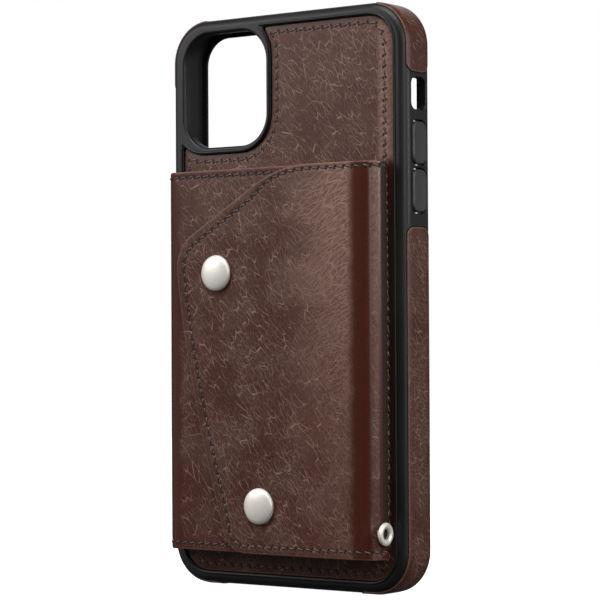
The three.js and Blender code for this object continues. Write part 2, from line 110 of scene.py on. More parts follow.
STRIP = {"proud": 0.25, "thickness": 0.7, "gap": 0.22, "corner": 2.5, "back_angle": 35, "front_angle": 20}
# Where the strips start, measured from the middle of the case towards their own corner
STRIP_UPPER = {"from_z": 61.8, "from_x": 30}
STRIP_LOWER = {"from_z": -19.2, "from_x": 24}

BUTTON = {"y": 3.3, "width": 6.6, "corner": 2.4, "gap": 0.35}
BUTTONS = {
    "volume_up": {"side": 1, "z": 42.4, "length": 11.8},
    "volume_down": {"side": 1, "z": 29.2, "length": 11.8},
    "power": {"side": -1, "z": 36, "length": 15},
}
MUTE = {"x": 3.3, "y": 56, "width": 6.8, "height": 8.8, "corner": 2}
PORT = {"x": 0, "y": 4.05, "width": 13, "height": 6.1, "corner": 2.4}
SPEAKER_LEFT = {"x": -15.5, "y": 4.05, "width": 12, "height": 3.3, "corner": 1.6}
SPEAKER_RIGHT = SPEAKER_LEFT | {"x": 15.5}

# Wallet
WALLET_BOTTOM, WALLET_TOP = WRAP_LOW[2], WRAP_HIGH[2]
WALLET_MIDDLE, WALLET_HEIGHT = (WALLET_BOTTOM + WALLET_TOP) / 2, WALLET_TOP - WALLET_BOTTOM
WALLET_RIGHT = WRAP_HIGH[0]
WALLET_FRONT = span("flap_leather")[0][1]
PANEL_FACE = PANEL_LOW[1]
GLUE_Y = PANEL_FACE - 0.05  # the wallet's back, just clear of the panel
LEATHER = 1.0
LEATHER_EDGE = 0.32
CLOTH = 0.45
# The turn from spine to flap: a shallow facet beside the flat of the flap, then a round down to the spine.
# "from" is measured in from the spine's face and "depth" back from the flap's.
SHOULDER = {
    "flat_from": 7.9,
    "facet_from": 4.2,
    "facet_depth": 0.45,
    "radius": 3.9,
    "front_angle": 8,
    "spine_angle": 70,
    "spine_depth": 3.5,
}
FOOT_RADIUS = 2.2
CROWN = {"x": 4.0, "fall": 0.4}  # the flap bulges over the cards and falls towards the shoulder
# The pocket's folded left edge: its front corner, its foot on the panel, and how far it swells to the left
FOLD = {"depth": 2.0, "width": 4.6, "foot": 1.5, "bulge": 1.2}

# Stitches: lengths in millimetres, but half_length and at in stitch pitches
STITCH = {"pitch": 2.8, "radius": 0.27, "half_length": 0.37, "slant": 14, "proud": 0.10, "bow": 0.42}
# The needle holes are near-black beads of painted shade.
NEEDLE_HOLE = {"length": 1.04, "radius": 0.44, "depth": 0.055, "flatness": 0.22, "at": 0.46}
GROOVE = {"depth": 0.09, "width": 0.45}
PANEL_BORDER = {"pressed": 0.28, "width": 2.6, "seam": 1.95, "pitch": 3.1}
FLAP_SEAM = 2.2
SPINE_SEAM = {"y": -4.5, "pitch": 2.4, "radius": 0.2}
SNAPS = {"upper": (-18.3, 7.6), "lower": (-3.2, -58.1)}
DISH = {"depth": 0.16, "radius": 6, "width": 2, "flat_to": 3, "waves_from": 12}  # round each snap
SOCKET_HOLE = 3.3
EYELET = {"y": -6.65, "z": -64.5, "bore": 1.5, "swell": 0.7, "up_spine": 2.2}

# ---- Plane curves ----


def arc(cx, cy, rx, ry, start, end, steps=24):
    """Points on an elliptical arc, both ends included, with angles in degrees."""
    angles = np.radians(np.linspace(start, end, steps + 1))
    return np.column_stack([cx + rx * np.cos(angles), cy + ry * np.sin(angles)])


def quadratic(start, control, end, steps=16):
    """Points on a quadratic curve, both ends included."""
    t = np.linspace(0, 1, steps + 1)[:, None]
    return (1 - t) ** 2 * np.array(start) + 2 * t * (1 - t) * np.array(control) + t**2 * np.array(end)


def rounded_rect(width, height, radius, cx=0.0, cy=0.0, steps=16):
    """Anticlockwise outline of a rounded rectangle."""
    x, y = width / 2 - radius, height / 2 - radius
    corners = enumerate(((x, y), (-x, y), (-x, -y), (x, -y)))
    arcs = [arc(cx + a, cy + b, radius, radius, 90 * k, 90 * k + 90, steps) for k, (a, b) in corners]
    return np.concatenate(arcs)


def densify(points, spacing, closed=True):
    """Adds points on long straight stretches, and drops repeated points."""
    points = np.asarray(points, float)
    ends = np.roll(points, -1, axis=0) if closed else points[1:]
    made = []
    for a, b in zip(points, ends):
        length = np.linalg.norm(b - a)
        if length < 1e-6:
            continue
        count = max(1, math.ceil(length / spacing))
        made.extend(a + (b - a) * i / count for i in range(count))
    if not closed:
        made.append(points[-1])
    return np.array(made)


def signed_area(outline):
    x, y = outline.T
    return np.sum(x * np.roll(y, -1) - y * np.roll(x, -1)) / 2


def anticlockwise(outline):
    return outline if signed_area(outline) > 0 else outline[::-1]


def offset(outline, inset):
    """A closed anticlockwise outline moved inwards."""
    into = outline - np.roll(outline, 1, axis=0)
    away = np.roll(outline, -1, axis=0) - outline
    into /= np.linalg.norm(into, axis=1)[:, None]
    away /= np.linalg.norm(away, axis=1)[:, None]
    inward = np.column_stack([-into[:, 1] - away[:, 1], into[:, 0] + away[:, 0]])
    inward /= np.linalg.norm(inward, axis=1)[:, None]
    across = np.column_stack([-into[:, 1], into[:, 0]])
    stretch = 1 / np.maximum(np.sum(inward * across, axis=1), 0.5)
    return outline + inward * (np.broadcast_to(inset, len(outline)) * stretch)[:, None]


class Path:
    """A plane curve measured along its length, with the normal on its outer side."""

    def __init__(self, points, outer):
        self.points = np.asarray(points, float)
        keep = np.concatenate([[True], np.linalg.norm(np.diff(self.points, axis=0), axis=1) > 1e-6])
        self.points = self.points[keep]
        steps = np.linalg.norm(np.diff(self.points, axis=0), axis=1)
        self.lengths = np.concatenate([[0], np.cumsum(steps)])
        self.length = self.lengths[-1]
        tangent = np.gradient(self.points, self.lengths, axis=0)
        self.normals = outer * np.column_stack([-tangent[:, 1], tangent[:, 0]])

    def at(self, s):
        """Points and outer normals at distances along the curve."""
        columns = [np.interp(s, self.lengths, c) for c in (*self.points.T, *self.normals.T)]
        point, normal = np.column_stack(columns[:2]), np.column_stack(columns[2:])
        return point, normal / np.linalg.norm(normal, axis=1)[:, None]


def smoothstep(low, high, x):
    t = np.clip((x - low) / (high - low), 0, 1)
    return t * t * (3 - 2 * t)


def hump(x, middle, width):
    """1 at the middle, falling to 0 on both sides."""
    return np.exp(-(((x - middle) / width) ** 2))


def inside(points, outline):
    """Which points lie inside a closed outline."""
    x, y = points.T
    found = np.zeros(len(points), bool)
    for (ax, ay), (bx, by) in zip(outline, np.roll(outline, -1, axis=0)):
        crosses = (ay > y) != (by > y)
        if abs(by - ay) > 1e-12:
            found ^= crosses & (x < ax + (y - ay) * (bx - ax) / (by - ay))
    return found


def distance_to(points, line):
    """Distance from each point to the nearest of a line's points, which lie close together."""
    made = np.full(len(points), 1e9)
    for i in range(0, len(points), 2000):
        part = points[i : i + 2000]
        made[i : i + 2000] = np.sqrt(((part[:, None] - line[None]) ** 2).sum(-1)).min(1)
    return made


def soften(outline, rounds=14):
    """Rounds the corners of a closed outline a little."""
    for _ in range(rounds):
        outline = (np.roll(outline, 1, axis=0) + 2 * outline + np.roll(outline, -1, axis=0)) / 4
    return outline


# ---- Meshes ----

SEAM_POINTS = 0.25  # spacing of the points that a seam is measured by
SEAM_STEP = 4
SEAM_SIDES = (-1.0, -0.5, -0.25, 0, 0.25, 0.5, 1.0)


def make_object(name, points, faces, material, sharp=40, uvs=None):
    """An object from points in millimetres. uvs gives named maps of one (u, v) for each point."""
    mesh = bpy.data.meshes.new(name)
    mesh.from_pydata((np.asarray(points) * MM).tolist(), [], [list(f) for f in faces])
    for key, values in (uvs or {}).items():
        layer = mesh.uv_layers.new(name=key)
        corners = np.zeros(len(mesh.loops), int)
        mesh.loops.foreach_get("vertex_index", corners)
        layer.data.foreach_set("uv", np.asarray(values, np.float32)[corners].ravel())
    editable = bmesh.new()
    editable.from_mesh(mesh)
    bmesh.ops.recalc_face_normals(editable, faces=editable.faces)
    editable.to_mesh(mesh)
    editable.free()
    mesh.shade_smooth()
    mesh.set_sharp_from_angle(angle=math.radians(sharp))
    made = bpy.data.objects.new(name, mesh)
    bpy.context.scene.collection.objects.link(made)
    if material:
        mesh.materials.append(material)
    return made


def beside(seam):
    """Points on both sides of a seam, close enough together to show its groove."""
    along = np.gradient(seam, axis=0)
    along /= np.linalg.norm(along, axis=1)[:, None]
    across = np.column_stack([-along[:, 1], along[:, 0]])
    return np.concatenate([seam + across * shift for shift in SEAM_SIDES])


def pattern_grid(outline, spacing):
    """Columns and rows of points that cover an outline."""
    low, high = outline.min(0), outline.max(0)
    return tuple(np.arange(a + spacing / 2, b, spacing) for a, b in zip(low, high))


def fill(ring, grid, seam=None):
    """Triangles over a closed ring: (points added inside it, triangles), ring points counted first."""
    columns, rows = grid
    points = np.array([(x, y) for x in columns for y in rows])
    if seam is not None:
        points = points[distance_to(points, seam) > SEAM_SIDES[-1] + 0.4]
        points = np.concatenate([points, beside(seam[::SEAM_STEP])])
    low, high = ring.min(0), ring.max(0)
    points = points[np.all((points > low) & (points < high), axis=1)]
    points = points[inside(points, ring)]
    points = points[distance_to(points, densify(ring, 0.2)) > 0.3]
    every = [Vector(p) for p in np.concatenate([ring, points])]
    loop = list(range(len(ring)))
    _, _, triangles, sources, _, _ = delaunay_2d_cdt(every, [], [loop], 1, 1e-7)
    return points, [[sources[i][0] for i in t] for t in triangles]


def slab(name, outline, edge, place, material=None, grid=None, closed=False, grain=None, seam=None, zone=None):
    """A closed piece from a flat outline. edge lists (inset, depth) from its front face round to its back;
    place turns pattern points (u, v, depth) into the frame's. grid is (columns, rows) of points inside.
    Leather has three maps: its grain, its edge as (inset, depth), and its zone."""
    outline = anticlockwise(np.asarray(outline, float))
    count = len(outline)
    flat, insets, faces = [], [], []
    for inset, depth in edge:
        flat.append(np.column_stack([offset(outline, inset), np.full(count, depth)]))
        insets.append(np.full(count, inset))
    rings = len(edge) if closed else len(edge) - 1
    for k in range(rings):
        here, there = k * count, (k + 1) % len(edge) * count
        for i in range(count):
            j = (i + 1) % count
            faces.append((here + i, here + j, there + j, there + i))
    for k in () if closed else (0, len(edge) - 1):
        if grid is None:
            faces.append(range(k * count, (k + 1) * count))
            continue
        points, triangles = fill(flat[k][:, :2], grid, seam if k == 0 else None)
        start = sum(map(len, flat))
        flat.append(np.column_stack([points, np.full(len(points), edge[k][1])]))
        insets.append(distance_to(points, densify(outline, 0.3)))
        faces.extend([i + k * count if i < count else start + i - count for i in t] for t in triangles)
    pattern = np.concatenate(flat)
    u, v, depths = pattern.T
    uvs = {}
    if grain:
        uvs = {"grain": grain(u, v), "edge": np.column_stack([np.concatenate(insets), depths])}
    if zone:
        uvs["zone"] = zone(u, v)
    return make_object(name, place(pattern), faces, material, uvs=uvs)


def rolled_edge(thickness, radius):
    """(inset, depth) round a sheet's edge, from its front face to its back."""
    steps = np.radians(np.linspace(90, 0, 5))
    front = [(radius * (1 - math.cos(a)), radius * (1 - math.sin(a))) for a in steps]
    back = [(inset, thickness - depth) for inset, depth in reversed(front)]
    return front + back


def on_plate(pattern):
    """Pattern (x, z, y) to the frame: depth runs along Y."""
    return pattern[:, [0, 2, 1]]


def on_side(pattern):
    """Pattern (y, z, x) to the frame."""
    return pattern[:, [2, 0, 1]]


def as_drawn(pattern):
    """Pattern (x, y, z), which is the frame's own."""
    return pattern


def lathe(name, profile, centre, axis, material, steps=72):
    """A profile of (radius, distance) turned round an axis through centre. It starts and ends on the axis,
    or closes on itself."""
    axis = Vector(axis).normalized()
    side = axis.orthogonal().normalized()
    other = axis.cross(side)
    on_axis = profile[0][0] < 1e-9
    rings = profile[1:-1] if on_axis else profile
    points, faces = [], []
    for radius, distance in rings:
        for i in range(steps):
            a = math.tau * i / steps
            out = side * math.cos(a) + other * math.sin(a)
            points.append(Vector(centre) + axis * distance + out * radius)
    around = [(i, (i + 1) % steps) for i in range(steps)]
    loops = len(rings) - 1 if on_axis else len(rings)
    for k in range(loops):
        here, there = k * steps, (k + 1) % len(rings) * steps
        faces.extend((here + i, here + j, there + j, there + i) for i, j in around)
    if on_axis:
        for ring, (_, distance) in ((0, profile[0]), (len(rings) - 1, profile[-1])):
            points.append(Vector(centre) + axis * distance)
            faces.extend((ring * steps + i, ring * steps + j, len(points) - 1) for i, j in around)
    return make_object(name, [tuple(p) for p in points], faces, material, 30)


def boolean(target, cutter, operation):
    """Cuts or joins a mesh with another, which is used up."""
    modifier = target.modifiers.new("boolean", "BOOLEAN")
    modifier.object = cutter
    modifier.operation = operation
    modifier.solver = "MANIFOLD"
    bpy.context.view_layer.update()
    made = bpy.data.meshes.new_from_object(target.evaluated_get(bpy.context.evaluated_depsgraph_get()))
    target.modifiers.clear()
    target.data = made
    bpy.data.objects.remove(cutter)


def fit(piece, slot, body, *nodes):
    """The piece stands for CAD nodes, if any, and moves with a body. slot is not used."""
    if nodes:
        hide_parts(*nodes)
    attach(piece, body)


# ---- Materials ----


def put(tree, socket, value):
    """Sets a socket to a value, or links it to another node's output."""
    if isinstance(value, bpy.types.NodeSocket):
        tree.links.new(value, socket)
    else:
        socket.default_value = value


def node(tree, kind, inputs=None, **settings):
    """A shader node with its settings and inputs."""
    made = tree.nodes.new("ShaderNode" + kind)
    for key, value in settings.items():
        setattr(made, key, value)
    for key, value in (inputs or {}).items():
        put(tree, made.inputs[key], value)
    return made


class Surface:
    """A material, with short calls for its shader's nodes. They measure in millimetres."""

    def __init__(self, name):
        self.material = bpy.data.materials.new(name)
        self.material.use_nodes = True
        self.tree = self.material.node_tree
        place = self.node("TexCoord").outputs["Object"]
        self.place = self.node("VectorMath", {0: place, "Scale": 1 / MM}, operation="SCALE").outputs[0]

    def node(self, kind, inputs=None, **settings):
        return node(self.tree, kind, inputs, **settings)

    def uv(self, name):
        return self.node("UVMap", uv_map=name).outputs["UV"]

    def uv_parts(self, name):
        """The two numbers of a UV map."""
        parts = self.node("SeparateXYZ", {0: self.uv(name)})
        return parts.outputs["X"], parts.outputs["Y"]

    def maths(self, operation, *values):
        return self.node("Math", dict(enumerate(values)), operation=operation).outputs[0]

    def times(self, a, b):
        return self.maths("MULTIPLY", a, b)

    def most(self, a, b):
        return self.maths("MAXIMUM", a, b)

    def vector(self, operation, *values, output=0):
        return self.node("VectorMath", dict(enumerate(values)), operation=operation).outputs[output]

    def remap(self, value, low, high, to_low=0.0, to_high=1.0):
        """value between low and high as a smooth ramp between two numbers."""
        inputs = {"Value": value, "From Min": low, "From Max": high, "To Min": to_low, "To Max": to_high}
        return self.node("MapRange", inputs, interpolation_type="SMOOTHSTEP").outputs["Result"]

    def noise(self, scale, detail=2.0, roughness=0.5, stretch=None, output="Fac"):
        """Soft noise over the object. stretch makes it finer along an axis."""
        vector = self.vector("MULTIPLY", self.place, stretch) if stretch else self.place
        inputs = {"Vector": vector, "Scale": scale, "Detail": detail, "Roughness": roughness}
        return self.node("TexNoise", inputs).outputs[output]

    def mix(self, share, a, b):
        """Colour between a and b."""
        made = self.node("Mix", data_type="RGBA")
        for socket, value in zip((made.inputs[0], made.inputs[6], made.inputs[7]), (share, a, b)):
            put(self.tree, socket, value)
        return made.outputs[2]

    def finish(self, height=None, distance=0.0, strength=1.0, **inputs):
        """Sets the shader's sockets, with _ for a space in their names, and the bump from a height."""
        if height is not None:
            bump = self.node("Bump", {"Height": height, "Distance": distance * MM, "Strength": strength})
            inputs["Normal"] = bump.outputs["Normal"]
        for key, value in inputs.items():
            put(self.tree, self.tree.nodes["Principled BSDF"].inputs[key.replace("_", " ")], value)
        return self.material


def leather_material(name, dark, light, streak, roughness):
    """Waxed leather: red-brown, greyer where it was rubbed, with fine pale creases along the grain map. The
    zone map says where it was pulled smooth (x, up to 1) or also darkened as painted shade (x, up to 2), and
    where bending has pulled out its creases, with a painted highlight there (y). The edge map says how far in
    from the cut edge a point is (x), and how deep (y)."""
    # The second tone is the colour of painted shade.
    pore_tone, shade_tone = (0.012, 0.004, 0.003, 1), (0.008, 0.0035, 0.0028, 1)
    surface = Surface(name)
    remap, times, most, mix, noise = surface.remap, surface.times, surface.most, surface.mix, surface.noise
    state, creases_and_highlight = surface.uv_parts("zone")
    inset, depth = surface.uv_parts("edge")
    sleek = remap(state, 0.0, 1.0)
    # Zone values past 1.2 paint shade: darker and rougher on the spine and on the panel beside it.
    painted_shade = remap(state, 1.2, 1.9)
    smooth = most(sleek, remap(inset, 2.4, 1.0, 0.0, 0.5))
    open_grain = surface.maths("SUBTRACT", 1.0, smooth)
    # The grain wanders over centimetres and ripples over a few millimetres.
    grain = surface.uv("grain")
    for scale, detail, reach in ((0.05, 1.0, (5, 5, 0)), (0.33, 2.0, (1.3, 1.3, 0))):
        shift = surface.vector("SUBTRACT", noise(scale, detail, output="Color"), (0.5, 0.5, 0.5))
        grain = surface.vector("ADD", grain, surface.vector("MULTIPLY", shift, reach))

    def creases(across, along, turn, width):
        """Thin lines between cells stretched along the grain, 1 on a line and 0 away from it."""
        c, s = math.cos(math.radians(turn)), math.sin(math.radians(turn))
        u = surface.vector("DOT_PRODUCT", grain, (c / across, s / across, 0), output="Value")
        v = surface.vector("DOT_PRODUCT", grain, (-s / along, c / along, 0), output="Value")
        inputs = {"Vector": surface.node("CombineXYZ", {0: u, 1: v}).outputs[0], "Scale": 1.0}
        cells = surface.node("TexVoronoi", inputs, voronoi_dimensions="2D", feature="DISTANCE_TO_EDGE")
        return remap(cells.outputs["Distance"], width, 0.25 * width)

    patches = remap(noise(0.09, 3.0), 0.36, 0.62, 0.15, 1.0)
    broken = remap(noise(0.26), 0.40, 0.60)
    long_lines = times(creases(across=1.6, along=6.6, turn=0, width=0.062), broken)
    short_lines = times(creases(across=0.95, along=3.2, turn=15, width=0.11), patches)
    fine_bends = times(creases(across=0.75, along=2.8, turn=-96, width=0.16), 0.7)
    bends = most(fine_bends, creases(across=1.3, along=6.0, turn=-80, width=0.13))
    lines = times(most(long_lines, times(short_lines, 0.5)), remap(creases_and_highlight, 0.2, 1.0, 1.0, 0.3))
    lines = times(most(lines, times(bends, creases_and_highlight)), open_grain)
    pores = noise(1.7, 4.0, 0.75)
    pale_pores = times(remap(pores, 0.50, 0.72, 0.0, 0.16), remap(sleek, 0.0, 1.0, 1.0, 0.15))
    # The cut edge is painted paler: partly the edge's own tone, partly a painted highlight.
    rim = times(remap(inset, 0.6, 0.1), remap(depth, 0.95, 0.3))
    worn = times(remap(noise(0.085, 3.0), 0.40, 0.62), open_grain)

    colour = mix(worn, dark, light)
    # Over the leather's own tones, the stretched zone and the cut edge are lightened, partly as painted
    # highlight, and the shaded zone is darkened as painted shade.
    layers = (
        (times(creases_and_highlight, 0.24), streak),
        (pale_pores, streak),
        (remap(pores, 0.50, 0.30, 0.0, 0.40), pore_tone),
        (times(lines, 0.45), streak),
        (times(rim, 0.22), streak),
        (times(painted_shade, 0.8), shade_tone),
    )
    for share, tone in layers:
        colour = mix(share, colour, tone)
    shine = remap(sleek, 0.0, 1.0, roughness, roughness - 0.12)
    for share in (times(times(pores, worn), 0.12), times(painted_shade, 0.35)):
        shine = surface.maths("ADD", shine, share)
    height = surface.maths("ADD", times(pores, 0.8), times(lines, 0.8))
    strength = remap(sleek, 0.0, 1.0, 0.85, 0.12)
    return surface.finish(height, 0.075, strength, Base_Color=colour, Roughness=shine, Specular_IOR_Level=0.2)


def soft_plastic_material(name, tone, roughness):
    """Matte black soft plastic with a very fine moulded grain."""
    surface = Surface(name)
    handled = surface.noise(0.045, 3.0)
    dark, pale = (0.8 * tone, 0.82 * tone, 0.8 * tone, 1), (1.2 * tone, 1.2 * tone, 1.15 * tone, 1)
    colour = surface.mix(surface.remap(handled, 0.35, 0.7), dark, pale)
    shine = surface.remap(handled, 0.3, 0.7, roughness - 0.04, roughness + 0.04)
    grain = surface.noise(5.5, 2.0, 0.6)
    return surface.finish(grain, 0.02, 0.5, Base_Color=colour, Roughness=shine, Specular_IOR_Level=0.30)


def hard_plastic_material():
    """Hidden plate under the panel: black plastic with a light mould texture."""
    surface = Surface("hard_plastic")
    colour = surface.mix(surface.noise(0.3), (0.012, 0.012, 0.013, 1), (0.02, 0.02, 0.021, 1))
    return surface.finish(surface.noise(3.0), 0.02, Base_Color=colour, Roughness=0.38)


def cloth_material():
    """Dark brown woven lining."""
    surface = Surface("lining_cloth")

    def threads(direction):
        inputs = {"Vector": surface.place, "Scale": 0.62, "Distortion": 0.3, "Detail": 1.0}
        return surface.node("TexWave", inputs, bands_direction=direction).outputs["Fac"]

    weave = surface.most(threads("Z"), surface.times(threads("X"), 0.9))
    worn = surface.remap(surface.noise(0.08, 3.0), 0.45, 0.75, 0.0, 0.3)
    colour = surface.mix(weave, (0.010, 0.0065, 0.005, 1), (0.040, 0.025, 0.019, 1))
    colour = surface.mix(worn, colour, (0.055, 0.038, 0.030, 1))
    return surface.finish(weave, 0.12, Base_Color=colour, Roughness=0.85)


def metal_material():
    """Satin nickel with faint scratches."""
    surface = Surface("satin_nickel")
    scratches = surface.noise(1.0, 4.0, 0.7, stretch=(0.35, 0.35, 3.5))
    colour = surface.mix(surface.noise(0.5), (0.74, 0.70, 0.64, 1), (0.80, 0.765, 0.71, 1))
    shine = surface.remap(scratches, 0.35, 0.7, 0.38, 0.48)
    return surface.finish(scratches, 0.008, 0.3, Base_Color=colour, Metallic=0.4, Roughness=shine)


def thread_material(name, colour, roughness):
    """Waxed sewing thread with its plies showing."""
    surface = Surface(name)
    plies = surface.noise(1.0, 1.0, stretch=(3.4, 3.4, 5.2))
    pale = tuple(1.7 * c for c in colour[:3]) + (1,)
    shade = surface.mix(surface.remap(plies, 0.35, 0.65), colour, pale)
    return surface.finish(plies, 0.06, Base_Color=shade, Roughness=roughness)


BROWN = leather_material(
    "waxed_leather",
    dark=(0.052, 0.0132, 0.0080, 1),
    light=(0.064, 0.0250, 0.0175, 1),
    streak=(0.37, 0.225, 0.18, 1),
    roughness=0.38,
)
PLASTIC = soft_plastic_material("soft_plastic", 0.0062, 0.44)
# The buttons get a lighter copy of the shell's plastic: painted sheen.
LIT_PAD_PLASTIC = soft_plastic_material("button_plastic_lit", 0.040, 0.38)
HARD_PLASTIC = hard_plastic_material()
LINING = cloth_material()
METAL = metal_material()
THREAD = thread_material("sewing_thread", (0.060, 0.028, 0.021, 1), 0.34)
# Near-black beads that paint the shade in the needle holes.
HOLE_SHADE = thread_material("needle_hole_shade", (0.006, 0.0035, 0.003, 1), 0.9)

# ---- Shell ----


def panel_outline(grow, steps=20):
    """The back panel: a rounded rectangle with a notch round the camera window."""
    right = PANEL_HIGH[0] + grow
    top = PANEL_HIGH[2] + grow
    radius = PANEL_CORNER + grow
    side_x, end_z = right - radius, top - radius
    top_radius = NOTCH["top_radius"] - grow
    top_angle = math.degrees(math.asin((top - NOTCH["top_z"]) / top_radius))
    turn = NOTCH["right_radius"] - grow
    left_turn = NOTCH_LEFT["radius"] - grow
    left_angle = math.degrees(math.acos((-right - NOTCH_LEFT["x"]) / left_turn))
    turn_x, turn_z = NOTCH["right"] - NOTCH["right_radius"], NOTCH["bottom"] + NOTCH["right_radius"]
    left_z = NOTCH["bottom"] + NOTCH_LEFT["radius"]
    arcs = [
        arc(side_x, end_z, radius, radius, 0, 90, steps),
        arc(NOTCH["right"] - NOTCH["top_radius"], NOTCH["top_z"], top_radius, top_radius, top_angle, 0, steps),
        arc(turn_x, turn_z, turn, turn, 0, -90, steps),
        arc(NOTCH_LEFT["x"], left_z, left_turn, left_turn, -90, -left_angle, steps // 2),
        arc(-side_x, -end_z, radius, radius, 180, 270, steps),
        arc(side_x, -end_z, radius, radius, 270, 360, steps),
    ]
    return np.concatenate(arcs)


def panel_edge(grow):
    """The panel's outline with its two pointed corners rounded."""
    return densify(soften(densify(panel_outline(grow), 0.5))[::2], 2.5)


def through(outline, low, high, flare_low, flare_high, place):
    """A cutter from low to high that widens in a round at each mouth. A flare is (level, radius)."""
    steps = np.radians(np.linspace(0, 90, 6))

    def mouth(level, radius, side, angles):
        return [(-radius * (1 - math.cos(a)), level + side * radius * (1 - math.sin(a))) for a in angles]

    edge = [(0, low)]
    if flare_low:
        edge = [(-flare_low[1], low)] + mouth(*flare_low, 1, steps[::-1])
    if flare_high:
        edge += mouth(*flare_high, -1, steps) + [(-flare_high[1], high)]
    else:
        edge.append((0, high))
    return slab("cutter", outline, edge, place)


def side_slot(outline, side):
    """A cutter through one side wall."""
    outer, inner = side * SHELL_HIGH[0], side * (SHELL_HIGH[0] - PHONE_WALL)
    mouths = sorted([(inner, 0.3), (outer, 0.35)])
    return through(outline, mouths[0][0] - 2, mouths[1][0] + 2, *mouths, on_side)


def bottom_slot(outline):
    """A cutter through the bottom wall, from an outline in X and Y."""
    low, high = SHELL_LOW[2], SHELL_LOW[2] + PHONE_WALL
    return through(outline, low - 2, high + 2, (low, 0.3), (high, 0.3), as_drawn)


def rect_of(opening, steps=16):
    """An opening's outline."""
    size = opening["width"], opening["height"], opening["corner"]
    return rounded_rect(*size, opening["x"], opening["y"], steps)


def button_outline(button, grow):
    width, length = BUTTON["width"] + 2 * grow, button["length"] + 2 * grow
    return rounded_rect(width, length, BUTTON["corner"] + grow, BUTTON["y"], button["z"])


BACK_ROUND = arc(BACK_EDGE, RIM_Y + BACK_EDGE, BACK_EDGE, BACK_EDGE, 270, 180)
FRONT_ROUND = arc(FRONT_EDGE, FRONT_Y - FRONT_EDGE, FRONT_EDGE, FRONT_EDGE, 180, 90)
# Outside of the side wall in (inset, y) from the back edge to the front, and the shell's outline in (x, z)
SIDE = Path(np.concatenate([BACK_ROUND, FRONT_ROUND]), outer=1)
SHELL_OUTLINE = densify(rounded_rect(*SHELL_SIZE, SHELL_CORNER, steps=24), 6)
ROUND = Path(np.concatenate([SHELL_OUTLINE, SHELL_OUTLINE[:1]]), outer=-1)


def strip_place(height):
    """Pattern (distance round the outline, distance across the side wall, depth) to the frame. The outer face
    of the strip stands height above the shell."""

    def place(pattern):
        round_point, outward = ROUND.at(np.mod(pattern[:, 0], ROUND.length))
        point, normal = SIDE.at(pattern[:, 1])
        level = point + normal * (height - pattern[:, 2])[:, None]
        x_z = round_point - outward * level[:, :1]
        return np.column_stack([x_z[:, 0], level[:, 1], x_z[:, 1]])

    return place


def strip_outlines(grow=0.0):
    """Flat patterns of the four side strips, as (distance round the shell, distance across the side wall)."""
    low = BACK_EDGE * math.radians(90 - STRIP["back_angle"]) - grow
    front_start = SIDE.length - FRONT_EDGE * math.pi / 2
    high = front_start + FRONT_EDGE * math.radians(STRIP["front_angle"]) + grow
    half_width, half_height = SHELL_SIZE / 2 - SHELL_CORNER
    quarter = SHELL_CORNER * math.pi / 2
    # Where each corner's arc starts. The outline begins with the upper right one and runs anticlockwise.
    corners = {
        "upper_right": 0.0,
        "upper_left": quarter + 2 * half_width,
        "lower_left": 2 * (quarter + half_width + half_height),
        "lower_right": 3 * quarter + 4 * half_width + 2 * half_height,
    }
    made = {}
    for name, start in corners.items():
        limits = STRIP_UPPER if name.startswith("upper") else STRIP_LOWER
        along_side, along_end = half_height - limits["from_z"], half_width - limits["from_x"]
        if name in ("upper_right", "lower_left"):
            left, right = start - along_side - grow, start + quarter + along_end + grow
        else:
            left, right = start - along_end - grow, start + quarter + along_side + grow
        rect = rounded_rect(right - left, high - low, STRIP["corner"], (left + right) / 2, (low + high) / 2)
        made[name] = densify(rect, 1.2)
    return made


def build_shell():
    body = slab("shell", SHELL_OUTLINE, SIDE.points, on_plate, PLASTIC)
    circle = arc(0, RIM_Y, BEAD["radius"], BEAD["radius"], 0, 360, 16)[:-1]
    boolean(body, slab("bead", panel_edge(BEAD["inset"]), circle, on_plate, closed=True), "UNION")
    lip_y = FRONT_Y - LIP_HEIGHT
    phone = rounded_rect(*(SHELL_SIZE - 2 * PHONE_WALL), PHONE_CORNER, steps=20)
    steps = np.radians(np.linspace(72, 0, 5))
    floor_round = [(CAVITY_LEAN * math.cos(a), CAVITY_LEAN * (1 - math.sin(a))) for a in steps]
    mouth = rounded_rect(*(SHELL_SIZE - 2 * (PHONE_WALL + LIP)), PHONE_CORNER - LIP, steps=20)
    cutters = [
        slab("cutter", phone, [(CAVITY_LEAN, 0), *floor_round, (0, lip_y)], on_plate),
        through(mouth, lip_y - 1, FRONT_Y + 2, None, (FRONT_Y, 0.45), on_plate),
        through(panel_edge(0.15), RIM_Y - 2, -BACK_WALL, (RIM_Y, 0.25), None, on_plate),
        through(rect_of(WINDOW, 20), RIM_Y - 2, 2, (RIM_Y, 0.9), (0, 0.3), on_plate),
        side_slot(rect_of(MUTE), 1),
        *(bottom_slot(rect_of(opening)) for opening in (PORT, SPEAKER_LEFT, SPEAKER_RIGHT)),
    ]
    for button in BUTTONS.values():
        cutters.append(side_slot(button_outline(button, BUTTON["gap"]), button["side"]))
    recess = [(0, -1.0), (0, STRIP["thickness"] - STRIP["proud"] + 0.1)]
    for outline in strip_outlines(STRIP["gap"]).values():
        cutters.append(slab("cutter", outline, recess, strip_place(0.0), grid=pattern_grid(outline, 1.2)))
    for cutter in cutters:
        boolean(body, cutter, "DIFFERENCE")
    body.data.shade_smooth()
    body.data.set_sharp_from_angle(angle=math.radians(35))
    body.modifiers.new("normals", "WEIGHTED_NORMAL").keep_sharp = True
    fit(body, "soft_shell", "case", "tpu_shell")


